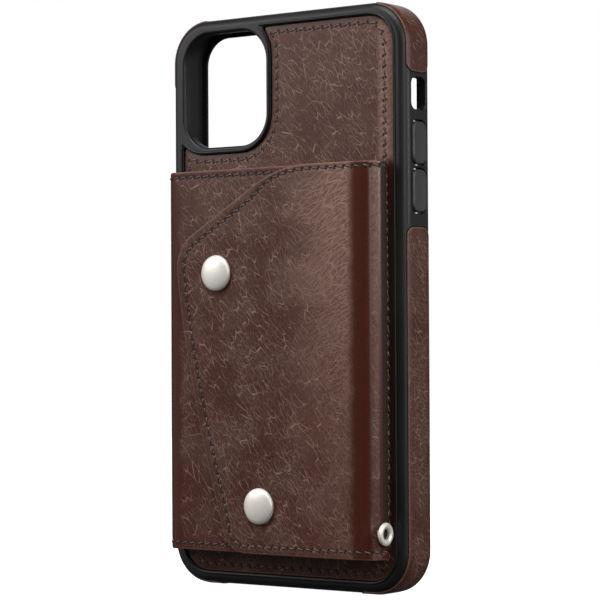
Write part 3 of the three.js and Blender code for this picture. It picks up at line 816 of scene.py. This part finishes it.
def build_buttons():
    for name, button in BUTTONS.items():
        low, high = span(f"{name}_button")
        side = button["side"]
        face = high[0] if side > 0 else low[0]

        def place(pattern, face=face, side=side):
            return np.column_stack([face - side * pattern[:, 2], pattern[:, 0], pattern[:, 1]])

        edge = [(1.3, 0.06), (0.9, 0.0), (0.55, 0.03), (0.3, 0.1), (0.12, 0.25), (0.03, 0.45), (0, 0.7)]
        edge.append((0, high[0] - low[0]))
        pad = slab(f"{name}_pad", densify(button_outline(button, 0), 1.5), edge, place, LIT_PAD_PLASTIC)
        fit(pad, "soft_shell", name, f"{name}_button")


# ---- Leather and stitching ----

CREASE_SLOPE = math.radians(48)


def grain_falling(x, z):
    """Grain whose creases run down to the right, seen from outside."""
    across = x * math.sin(CREASE_SLOPE) + z * math.cos(CREASE_SLOPE)
    along = x * math.cos(CREASE_SLOPE) - z * math.sin(CREASE_SLOPE)
    return np.column_stack([across, along])


def sewn(pattern, seam_points):
    """How far leather sinks beside a seam."""
    return GROOVE["depth"] * hump(distance_to(pattern[:, :2], seam_points), 0, GROOVE["width"])


def capsule(rings, sides, half_length, radius):
    """Points and faces of a rounded bar along its first axis."""
    points, faces = [(-half_length, 0, 0)], []
    for k in range(1, rings + 1):
        a = math.pi * k / (rings + 1)
        size = radius * min(1.0, 1.35 * math.sin(a))
        for i in range(sides):
            b = math.tau * i / sides
            points.append((-half_length * math.cos(a), size * math.cos(b), size * math.sin(b)))
    points.append((half_length, 0, 0))
    last = len(points) - 1
    for i in range(sides):
        j = (i + 1) % sides
        faces.append((0, 1 + j, 1 + i))
        faces.append((last, last - sides + i, last - sides + j))
        for k in range(rings - 1):
            here, there = 1 + k * sides, 1 + (k + 1) * sides
            faces.append((here + i, here + j, there + j, there + i))
    return np.array(points), faces


def stitches(name, line, pitch, place, closed=False, slant=STITCH["slant"], radius=STITCH["radius"]):
    """Thread, and near-black beads of painted shade in the needle holes, along a line on a pattern. Returns
    the two pieces.
    """
    path = Path(np.concatenate([line, line[:1]]) if closed else line, outer=1)
    count = round(path.length / pitch)
    step = path.length / count
    points, normals = path.at((np.arange(count) + 0.5) * step)
    tangents = np.column_stack([normals[:, 1], -normals[:, 0]])
    turn = math.radians(slant)
    along = tangents * math.cos(turn) + normals * math.sin(turn)
    across = np.column_stack([-along[:, 1], along[:, 0]])

    def repeated(key, shape, depths, shifts, material):
        """A shape at every stitch, at shifts along it in steps."""
        every, faces = [], []
        for centre, forward, sideways in zip(points, along, across):
            for shift in shifts:
                start = sum(map(len, every))
                middle = centre + forward * shift * step
                flat = middle + shape[0][:, :1] * forward + shape[0][:, 1:2] * sideways
                every.append(np.column_stack([flat, depths]))
                faces.extend([i + start for i in f] for f in shape[1])
        piece = make_object(key, place(np.concatenate(every)), faces, material, 80)
        return piece

    half_length = STITCH["half_length"] * step
    thread = capsule(7, 8, half_length, radius)
    hole = capsule(3, 8, NEEDLE_HOLE["length"] / 2, NEEDLE_HOLE["radius"])
    bowed = thread[0][:, 2] - STITCH["proud"] + STITCH["bow"] * (thread[0][:, 0] / half_length) ** 2
    flattened = NEEDLE_HOLE["depth"] + NEEDLE_HOLE["flatness"] * hole[0][:, 2]
    ends = (-NEEDLE_HOLE["at"], NEEDLE_HOLE["at"])
    return [
        repeated(name, thread, bowed, (0.0,), THREAD),
        repeated(name.replace("stitches", "holes"), hole, flattened, ends, HOLE_SHADE),
    ]


def panel_seam():
    """The seam round the panel, a little further in along the upper right side."""
    edge = densify(anticlockwise(panel_edge(0)), 0.8)
    seam = offset(edge, PANEL_BORDER["seam"])
    seam = seam[distance_to(seam, densify(edge, 0.2)) > PANEL_BORDER["seam"] - 0.05]
    seam[:, 0] -= 0.85 * smoothstep(-10, 40, seam[:, 1]) * smoothstep(28, 34, seam[:, 0])
    return seam


def panel_zone(x, z):
    """Painted shadow beside the foot of the spine, with creases pulled out and a painted highlight along the
    right edge above it.
    """
    in_wallet_shadow = smoothstep(WALLET_TOP + 0.5, WALLET_TOP - 0.5, z) * smoothstep(-68, -64, z)
    creases_and_highlight = 0.85 * smoothstep(31.5, 33.5, x) * smoothstep(WALLET_TOP, WALLET_TOP + 2, z)
    return np.column_stack([2 * in_wallet_shadow * smoothstep(35.0, 35.8, x), creases_and_highlight])


def build_panel():
    """The leather on the back, with a sewn border and its edge pressed down."""
    outline = panel_edge(0)
    seam = panel_seam()
    seam_points = densify(seam, SEAM_POINTS)
    thickness = PANEL_HIGH[1] - PANEL_LOW[1]

    def place(pattern):
        front = 1 - pattern[:, 2] / thickness
        border = distance_to(pattern[:, :2], densify(outline, 0.4))
        sunk = PANEL_BORDER["pressed"] * (1 - smoothstep(0, PANEL_BORDER["width"], border))
        sunk = sunk + sewn(pattern, seam_points)
        return np.column_stack([pattern[:, 0], PANEL_FACE + pattern[:, 2] + sunk * front, pattern[:, 1]])

    edge, grid = rolled_edge(thickness, 0.35), pattern_grid(outline, 2.5)
    maps = {"grain": grain_falling, "zone": panel_zone}
    panel = slab("panel_leather", outline, edge, place, BROWN, grid, seam=seam_points, **maps)
    fit(panel, "leather", "case", "back_leather")
    for piece in stitches("panel_stitches", seam, PANEL_BORDER["pitch"], place, closed=True):
        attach(piece, "case")


def build_side_strips():
    """Leather let into the side walls at the corners."""
    edge, place = rolled_edge(STRIP["thickness"] - 0.05, 0.28), strip_place(STRIP["proud"])
    for name, outline in strip_outlines().items():
        tilt = 1 if name.endswith("right") else -1

        def grain(along, across, tilt=tilt):
            return np.column_stack([0.75 * along + 0.66 * across * tilt, 0.66 * along - 0.75 * across * tilt])

        grid = pattern_grid(outline, 1.1)
        strip = slab(f"side_strip_{name}", outline, edge, place, BROWN, grid, grain=grain)
        fit(strip, "leather", "case", f"side_leather_{name}")


# ---- Wallet ----

TURN_X = WALLET_RIGHT - SHOULDER["flat_from"]
FOOT_X = WALLET_RIGHT - FOOT_RADIUS
FOOT_Y = GLUE_Y - FOOT_RADIUS
FLAP_END = -40.0
SPINE_POINTS = 30  # points of the wallet's path that lie on its foot and spine


def crown(x):
    """How far the flap has fallen from its highest line."""
    t = np.clip((x - CROWN["x"]) / (TURN_X - CROWN["x"]), 0, None)
    return CROWN["fall"] * t**2


def wallet_path():
    """Outer face of the wrap from its foot on the panel, up the spine and over into the flap, in X and Y."""
    edge_y = WALLET_FRONT + CROWN["fall"]
    low, high = 90 - SHOULDER["spine_angle"], 90 - SHOULDER["front_angle"]
    facet_end = np.array([WALLET_RIGHT - SHOULDER["facet_from"], edge_y + SHOULDER["facet_depth"]])
    radius = SHOULDER["radius"]
    a = math.radians(high)
    centre = facet_end + radius * np.array([-math.cos(a), math.sin(a)])
    flat_x = np.arange(TURN_X - 0.5, FLAP_END, -0.5)
    runs = [
        [(FOOT_X - 1.2, FOOT_Y + FOOT_RADIUS)],
        arc(FOOT_X, FOOT_Y, FOOT_RADIUS, FOOT_RADIUS, 90, 0, 24),
        arc(*centre, radius, radius, -low, -high, 40),
        quadratic(facet_end, (TURN_X + 1.5, edge_y + 0.12), (TURN_X, edge_y), 24)[1:],
        np.column_stack([flat_x, WALLET_FRONT + crown(flat_x)]),
    ]
    return Path(np.concatenate(runs), outer=1)


WALLET = wallet_path()
FLAT_START = np.interp(-TURN_X, -WALLET.points[SPINE_POINTS:, 0], WALLET.lengths[SPINE_POINTS:])


def up_spine(y):
    """Distance along the wrap of a level on the spine."""
    return np.interp(-y, -WALLET.points[:SPINE_POINTS, 1], WALLET.lengths[:SPINE_POINTS])


SPINE_TOP = up_spine(WALLET_FRONT + SHOULDER["spine_depth"])


def unroll(x_or_s):
    """Distance along the wrap of an x on the flat of the flap, or the x of a distance."""
    return FLAT_START + TURN_X - x_or_s


def flap_outline():
    """The wrap's spine and flap as one flat pattern of (distance along the wrap, z)."""
    top, bottom = WALLET_TOP, WALLET_BOTTOM
    nose = [
        [(20, top)],
        quadratic((14, top), (3.5, top), (-5.5, 31.85), 14),
        quadratic((-27, 19.1), (-33.8, 15.2), (-33.1, 8), 16),
        quadratic((-33.1, 8), (-30.6, -18.8), (-17, -64.5), 20)[1:],
        quadratic((-17, -64.5), (-15, bottom), (-8.5, bottom), 14)[1:],
    ]
    x, z = np.concatenate(nose).T
    return anticlockwise(densify([*zip(unroll(x), z), (0, bottom), (0, top)], 1.3))


def flap_seam():
    """The seam inside the flap's edge. It lies nearer the edge at the top, and further in at the bottom."""
    outline = flap_outline()
    z = outline[:, 1]
    inset = FLAP_SEAM + 0.6 * smoothstep(-69, -60, z) - 1.5 * smoothstep(30, 36, z)
    seam = offset(outline, inset)
    kept = seam[outline[:, 0] > 3.2]
    start = np.argmax(np.linalg.norm(np.diff(kept, axis=0, append=kept[:1]), axis=1)) + 1
    return np.roll(kept, -start, axis=0)


def wallet_grain(s, z):
    return grain_falling(unroll(s), z)


def wallet_zone(s, z):
    """Smooth where the leather goes over the shoulder and down the spine, with its creases pulled out and a
    painted highlight beside it and along the top of the round, fainter towards the bottom, and painted shade
    on the spine."""
    x = unroll(s) - TURN_X  # from the start of the turn
    wobble = 0.5 * np.sin(0.31 * z) + 0.4 * np.sin(0.83 * z + 1)
    # A band along the top of the round gets a painted highlight and keeps its grain.
    over = smoothstep(5.2, 7.4, x) * smoothstep(9.9, 8.0, x)
    smooth = smoothstep(-2.6, 2.4, x + 0.5 * wobble) * (1 - 0.9 * over)
    # Beside the turn and along the round: creases pulled out and a painted highlight, strongest at the top and
    # fading towards the bottom.
    creases_and_highlight = smoothstep(-27, -3, x + 4 * wobble) * smoothstep(1.9, -1.4, x)
    creases_and_highlight = np.maximum(creases_and_highlight, 0.7 * over) * (1 - 0.8 * smoothstep(WALLET_TOP + 5, WALLET_BOTTOM + 15, z))
    # Painted shade down the spine's face.
    painted_shade = smoothstep(0.2, -2.0, s - SPINE_TOP) * smoothstep(WALLET_BOTTOM + 2, WALLET_BOTTOM + 5, z)
    return np.column_stack([smooth + painted_shade, creases_and_highlight])


def flap_waves(pattern):
    """How far the wrap's leather sinks: soft waves on the flap, a dish round each snap, and a swell under the
    eyelet."""
    s, z = pattern[:, 0], pattern[:, 1]
    x = unroll(s)
    sunk = 0.09 * (1 + np.sin(0.13 * x + 0.055 * z + 0.6)) + 0.05 * np.sin(0.21 * z - 0.09 * x)
    sunk = sunk * smoothstep(TURN_X + 2, TURN_X - 12, x)
    for cx, cz in SNAPS.values():
        away = np.hypot(x - cx, z - cz)
        sunk = sunk * smoothstep(DISH["flat_to"], DISH["waves_from"], away)
        sunk = sunk + DISH["depth"] * hump(away, DISH["radius"], DISH["width"])
    return sunk - EYELET["swell"] * hump(s, SPINE_TOP + EYELET["up_spine"], 1.5) * hump(z, EYELET["z"], 2.6)


def on_path(path, thickness, seam_points=None, start=0.0, waves=None):
    """Pattern (distance along the path, z, depth) to the frame. start is the depth of the outer face."""

    def place(pattern):
        point, outward = path.at(pattern[:, 0])
        front = np.clip(1 - pattern[:, 2] / thickness, 0, 1.3)
        depth = pattern[:, 2] + start
        if waves:
            depth = depth + waves(pattern)
        if seam_points is not None:
            depth = depth + front * sewn(pattern, seam_points)
        return np.column_stack([point - outward * depth[:, None], pattern[:, 1]])

    return place


def wallet_grid(spacing):
    """Columns close together round the turns, rows evenly spaced."""
    turns = np.arange(0.5, FLAT_START + 3, 0.75)
    flat = np.arange(FLAT_START + 4, WALLET.length, spacing)
    return np.concatenate([turns, flat]), np.arange(WALLET_BOTTOM, WALLET_TOP, spacing)


def bend_with_flap(piece):
    """Bakes the piece's transform into its mesh."""
    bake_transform(piece)


def build_wallet_leather():
    seam = flap_seam()
    points = densify(seam, SEAM_POINTS, closed=False)
    place = on_path(WALLET, LEATHER, points, waves=flap_waves)
    edge, grid = rolled_edge(LEATHER, LEATHER_EDGE), wallet_grid(2.2)
    maps = {"grain": wallet_grain, "zone": wallet_zone}
    leather = slab("wallet_leather", flap_outline(), edge, place, BROWN, grid, seam=points, **maps)
    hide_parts("wallet_wrap", "flap_leather")
    bend_with_flap(leather)
    for piece in stitches("flap_stitches", seam, STITCH["pitch"], place):
        bend_with_flap(piece)
    row = up_spine(SPINE_SEAM["y"])
    column = densify([(row, WALLET_TOP - 3), (row, EYELET["z"] + 4.2)], 1.0, closed=False)
    pitch, radius = SPINE_SEAM["pitch"], SPINE_SEAM["radius"]
    for piece in stitches("spine_stitches", column, pitch, place, slant=0, radius=radius):
        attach(piece, "case")


def build_wallet_base():
    """The flat of the wrap on the panel, inside the wallet."""
    left, right = WRAP_LOW[0], FOOT_X - 1.15
    rect = rounded_rect(right - left, WALLET_HEIGHT, 0.5, (left + right) / 2, WALLET_MIDDLE, 3)
    outline = densify(rect, 3)

    def place(pattern):
        return np.column_stack([pattern[:, 0], GLUE_Y - pattern[:, 2], pattern[:, 1]])

    edge, grid = rolled_edge(LEATHER - 0.06, 0.2), pattern_grid(outline, 5)
    base = slab("wallet_base", outline, edge, place, BROWN, grid, grain=grain_falling)
    fit(base, "leather", "case", "wallet_wrap")


def build_wallet_lining():
    """Cloth inside the wrap: up the spine and over the inside of the flap, with a hole round each socket."""
    outline = offset(flap_outline(), 0.6)
    place = on_path(WALLET, CLOTH, start=LEATHER + 0.02, waves=flap_waves)
    cloth = slab("wallet_lining", outline, rolled_edge(CLOTH, 0.2), place, LINING, wallet_grid(3.0))
    for x, z in SNAPS.values():
        around_socket = [(0.0, 6.0), (SOCKET_HOLE, 6.0), (SOCKET_HOLE, 0.0), (0.0, 0.0)]
        hole = lathe("socket_hole", around_socket, (x, WALLET_FRONT - 2, z), (0, 1, 0), None)
        boolean(cloth, hole, "DIFFERENCE")
    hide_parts("wrap_lining", "flap_lining")
    bend_with_flap(cloth)
    x, y = (outline.max(0) - outline.min(0)) * MM


def pocket_path():
    """Outer face of the pocket front: up the rounded fold on the left and across to its free edge."""
    face, left = POCKET_LOW[1], POCKET_LOW[0] - FOLD["bulge"]
    flat_left, right = left + FOLD["width"], POCKET_HIGH[0]
    foot = arc(left + FOLD["foot"], GLUE_Y - FOLD["foot"], FOLD["foot"], FOLD["foot"], 115, 180, 12)
    fold = arc(flat_left, face + FOLD["depth"], FOLD["width"], FOLD["depth"], 180, 270, 30)
    flat = [(x, face) for x in np.arange(flat_left + 1, right, 1.0)]
    return Path(np.concatenate([foot, fold, flat, [(right, face)]]), outer=-1)


POCKET = pocket_path()


def pocket_grain(s, z):
    """Shifted, so that its creases don't repeat the flap's."""
    return grain_falling(POCKET.at(s)[0][:, 0] + 11, z + 5)


def pocket_zone(s, z):
    """Smooth round the fold."""
    x = POCKET.at(s)[0][:, 0]
    smooth = smoothstep(POCKET_LOW[0] + 6, POCKET_LOW[0] + 2, x + 0.5 * np.sin(0.4 * z))
    return np.column_stack([smooth, 0 * s])


def pocket_grid():
    """Columns close together round the fold."""
    columns = [np.arange(0.4, 12, 0.7), np.arange(13, POCKET.length, 2.4)]
    return np.concatenate(columns), np.arange(WALLET_BOTTOM, WALLET_TOP, 2.4)


def build_pocket():
    rows = [WALLET_TOP - 1.75, WALLET_BOTTOM + 1.95]
    seams = [densify([(1.6, z), (POCKET.length - 1.5, z)], SEAM_POINTS, closed=False) for z in rows]
    points = np.concatenate(seams)
    place = on_path(POCKET, LEATHER, points)
    rect = rounded_rect(POCKET.length, WALLET_HEIGHT, 0.8, POCKET.length / 2, WALLET_MIDDLE, 4)
    outline, edge = densify(rect, 1.4), rolled_edge(LEATHER, LEATHER_EDGE)
    maps = {"grain": pocket_grain, "zone": pocket_zone}
    pocket = slab("pocket_leather", outline, edge, place, BROWN, pocket_grid(), seam=points, **maps)
    fit(pocket, "leather", "case", "pocket_front")
    for number, seam in enumerate(seams):
        for piece in stitches(f"pocket_stitches_{number + 1}", seam, STITCH["pitch"], place):
            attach(piece, "case")


def build_pocket_cloth():
    """Lining behind the pocket front, clear of its fold."""
    thickness, left, right, margin = 0.36, 8.0, 1.0, 0.6
    width, height = POCKET.length - left - right, WALLET_HEIGHT - 2 * margin
    outline = densify(rounded_rect(width, height, 0.5, left + width / 2, WALLET_MIDDLE, 3), 2)
    place = on_path(POCKET, thickness, start=LEATHER + 0.02)
    cloth = slab("pocket_cloth", outline, rolled_edge(thickness, 0.15), place, LINING, pocket_grid())
    fit(cloth, "lining", "case", "pocket_lining")


def build_leaves():
    """Cloth leaves between the cards, with their top and bottom turned over as hems."""
    for name in ("rear", "front"):
        low, high = span(f"card_slot_{name}")
        turn = (high[1] - low[1]) / 2 - 0.02
        bottom, top = low[2] + turn, high[2] - turn
        middle_y = (low[1] + high[1]) / 2
        line = [
            [(bottom + 3, middle_y + turn)],
            arc(bottom, middle_y, turn, turn, 90, 270, 10),
            densify([(bottom + 1, middle_y - turn), (top - 1, middle_y - turn)], 4, closed=False),
            arc(top, middle_y, turn, turn, -90, 90, 10),
            [(top - 3, middle_y + turn)],
        ]
        path = Path(np.concatenate(line), outer=-1)

        def place(pattern, path=path):
            point, outward = path.at(pattern[:, 1])
            level = point - outward * pattern[:, 2:3]
            return np.column_stack([pattern[:, 0], level[:, 1], level[:, 0]])

        width, end = high[0] - low[0], path.length
        outline = densify(rounded_rect(width, end, 0.4, (low[0] + high[0]) / 2, end / 2, 3), 2)
        rows = [np.arange(0.3, 7, 0.35), np.arange(8, end - 7, 4), np.arange(end - 7, end - 0.2, 0.35)]
        grid = (np.arange(low[0] + 2, high[0], 4), np.concatenate(rows))
        leaf = slab(f"card_leaf_{name}", outline, rolled_edge(0.4, 0.15), place, LINING, grid)
        fit(leaf, "lining", "case", f"card_slot_{name}")


# ---- Metal fittings ----


def fitting(name, profile, centre, axis, body, node_name):
    """A turned nickel part in place of a CAD node."""
    fit(lathe(name, profile, centre, axis, METAL), "nickel", body, node_name)


def dome(radius, height, edge):
    """(radius, distance) of a domed cap whose rim is rolled under."""
    turns = np.radians(np.linspace(4, 78, 18))
    top = [(radius * math.sin(a) ** 0.96, edge + (height - edge) * math.cos(a)) for a in turns]
    rim = [(radius, edge * 0.9), (radius + 0.02, edge * 0.6), (radius - 0.1, edge * 0.25), (radius - 0.4, 0.0)]
    return [(0.0, height), *top, *rim, (0.0, 0.0)]


def socket_cup(wide, depth):
    """(radius, distance) of a snap socket: a rolled ring round a closed cup."""
    cup = [(0.0, depth * 0.2), (2.3, depth * 0.2), (2.5, depth * 0.8), (2.7, depth), (3.1, depth)]
    return [*cup, (wide - 0.25, depth * 0.75), (wide, depth * 0.45), (wide - 0.1, 0.0), (0.0, 0.0)]


def stud_head(wide, deep):
    """(radius, distance) of a snap stud: a flange, a neck and a rounded head."""
    top = [(0.0, deep), (0.9, deep), (1.7, deep - 0.06), (2.1, deep - 0.25)]
    neck = [(2.25, deep - 0.5), (2.0, deep - 0.75), (1.6, deep * 0.35), (2.6, 0.38)]
    return [*top, *neck, (wide - 0.3, 0.32), (wide, 0.15), (wide - 0.05, 0.0), (0.0, 0.0)]


def build_snaps():
    """Cap, socket and stud of both snaps. The socket's cup is a little deeper than the CAD's."""
    for key, (x, z) in SNAPS.items():
        low, high = span(f"snap_cap_{key}")
        cap = dome((high[0] - low[0]) / 2, WALLET_FRONT - low[1] + 0.1, 0.55)
        fitting(f"snap_dome_{key}", cap, (x, WALLET_FRONT + 0.1, z), (0, -1, 0), "flap", f"snap_cap_{key}")
        low, high = span(f"snap_socket_{key}")
        cup = socket_cup((high[0] - low[0]) / 2, high[1] - low[1] + 0.25)
        fitting(f"snap_ring_{key}", cup, (x, low[1], z), (0, 1, 0), "flap", f"snap_socket_{key}")
        low, high = span(f"stud_{key}")
        head = stud_head((high[0] - low[0]) / 2, high[1] - low[1])
        fitting(f"snap_stud_{key}", head, (x, high[1], z), (0, -1, 0), "case", f"stud_{key}")


def build_eyelet():
    """A rolled ring through the spine for a wrist strap."""
    low, high = span("eyelet")
    bore, face = EYELET["bore"], high[0] - low[0]
    tube = ((high[2] - low[2]) / 2 - bore) / 2
    turns = np.radians(np.linspace(-35, 200, 22))
    roll = [(bore + tube + tube * math.cos(a), face + 0.75 * tube * (math.sin(a) - 1)) for a in turns]
    barrel = [(bore, face * 0.4), (bore, 0.0), (bore + 0.35, 0.0), (bore + 0.35, face - 1.15)]
    fitting("strap_eyelet", roll + barrel, (low[0], EYELET["y"], EYELET["z"]), (1, 0, 0), "case", "eyelet")


def finish_kept_nodes():
    """CAD nodes that stay as they are get their materials."""
    for name in ("backer_plate", "stud_post_upper", "stud_post_lower", "eyelet_washer"):
        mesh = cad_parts[name].data
        mesh.materials.clear()
        mesh.materials.append(HARD_PLASTIC if name == "backer_plate" else METAL)


# ---- Stage, light and camera ----

VIEW = {"azimuth": 37.08, "elevation": -1.09, "roll": -0.29, "distance": 0.674, "lens": 142.1}
AIM = Vector((0, 2.97 * MM, 0))
SHIFT = (0.0025, -0.0008)
FLOOR_RADIUS = 6000.0
# (azimuth, elevation, distance in metres, (width, height) in metres, watts)
SOFTBOXES = {
    "left_wall": (-62, 0, 1.0, (0.75, 1.2), 1.1),
    "key": (-46, 24, 0.7, (0.30, 0.34), 2.0),
    "side": (55, 17, 0.8, (0.30, 0.5), 2.5),
    "edge": (103, 16, 0.8, (0.12, 0.36), 3.0),
    "right_wall": (140, 3, 1.0, (0.7, 1.0), 0.65),
    "top": (0, 60, 1.0, (0.6, 0.4), 9),
    "behind": (215, 20, 1.0, (0.8, 0.8), 2.4),
}


def direction(azimuth, elevation):
    """Unit vector towards a viewer. Azimuth 0 is in front of the wallet and 90 on the button side."""
    a, e = math.radians(azimuth), math.radians(elevation)
    return Vector((math.sin(a) * math.cos(e), -math.cos(a) * math.cos(e), math.sin(e)))


def build_camera():
    data = bpy.data.cameras.new("camera")
    data.lens = VIEW["lens"]
    data.shift_x, data.shift_y = SHIFT
    data.clip_start = 0.01
    camera = bpy.data.objects.new("camera", data)
    bpy.context.scene.collection.objects.link(camera)
    back = direction(VIEW["azimuth"], VIEW["elevation"])
    turn = (-back).to_track_quat("-Z", "Y").to_matrix().to_4x4()
    roll = Matrix.Rotation(math.radians(VIEW["roll"]), 4, "Z")
    camera.matrix_world = Matrix.Translation(AIM + back * VIEW["distance"]) @ turn @ roll
    bpy.context.scene.camera = camera


def softbox(name, azimuth, elevation, distance, size, power):
    """A rectangular light that looks at the origin."""
    data = bpy.data.lights.new(name, "AREA")
    data.shape = "RECTANGLE"
    data.size, data.size_y = size
    data.energy = power
    light = bpy.data.objects.new(name, data)
    bpy.context.scene.collection.objects.link(light)
    back = direction(azimuth, elevation)
    light.location = back * distance
    light.rotation_mode = "QUATERNION"
    light.rotation_quaternion = (-back).to_track_quat("-Z", "Y")


def build_floor():
    """A pale floor that lights nothing and isn't reflected."""
    surface = Surface("pale_floor")
    colour = surface.mix(surface.noise(6.0 * MM), (0.86, 0.86, 0.86, 1), (0.90, 0.90, 0.90, 1))
    surface.finish(Base_Color=colour, Roughness=0.8, Emission_Color=(1, 1, 1, 1), Emission_Strength=1.0)
    ring = arc(0, 0, FLOOR_RADIUS, FLOOR_RADIUS, 0, 360, 96)[:-1]
    level = np.full(len(ring), cad_low.z / MM - 0.05)
    floor = make_object("floor", np.column_stack([ring, level]), [range(len(ring))], surface.material)
    floor.visible_diffuse = False
    floor.visible_glossy = False


def build_world():
    """White behind the object, with only a little light from it."""
    world = bpy.data.worlds.new("studio")
    bpy.context.scene.world = world
    world.use_nodes = True
    tree = world.node_tree
    shown = tree.nodes["Background"]
    shown.inputs["Color"].default_value = (1, 1, 1, 1)
    shown.inputs["Strength"].default_value = 1.0
    fill_light = node(tree, "Background", {"Color": (0.98, 0.99, 1.0, 1), "Strength": 0.07})
    camera_ray = node(tree, "LightPath").outputs["Is Camera Ray"]
    chosen = node(tree, "MixShader", {0: camera_ray, 1: fill_light.outputs[0], 2: shown.outputs[0]})
    put(tree, tree.nodes["World Output"].inputs["Surface"], chosen.outputs[0])
    bpy.context.scene.view_settings.view_transform = "Standard"


build_camera()
build_floor()
build_world()
for light_name, setup in SOFTBOXES.items():
    softbox(light_name, *setup)
build_shell()
build_buttons()
build_panel()
build_side_strips()
build_pocket()
build_pocket_cloth()
build_leaves()
build_wallet_base()
build_wallet_leather()
build_wallet_lining()
build_snaps()
build_eyelet()
finish_kept_nodes()
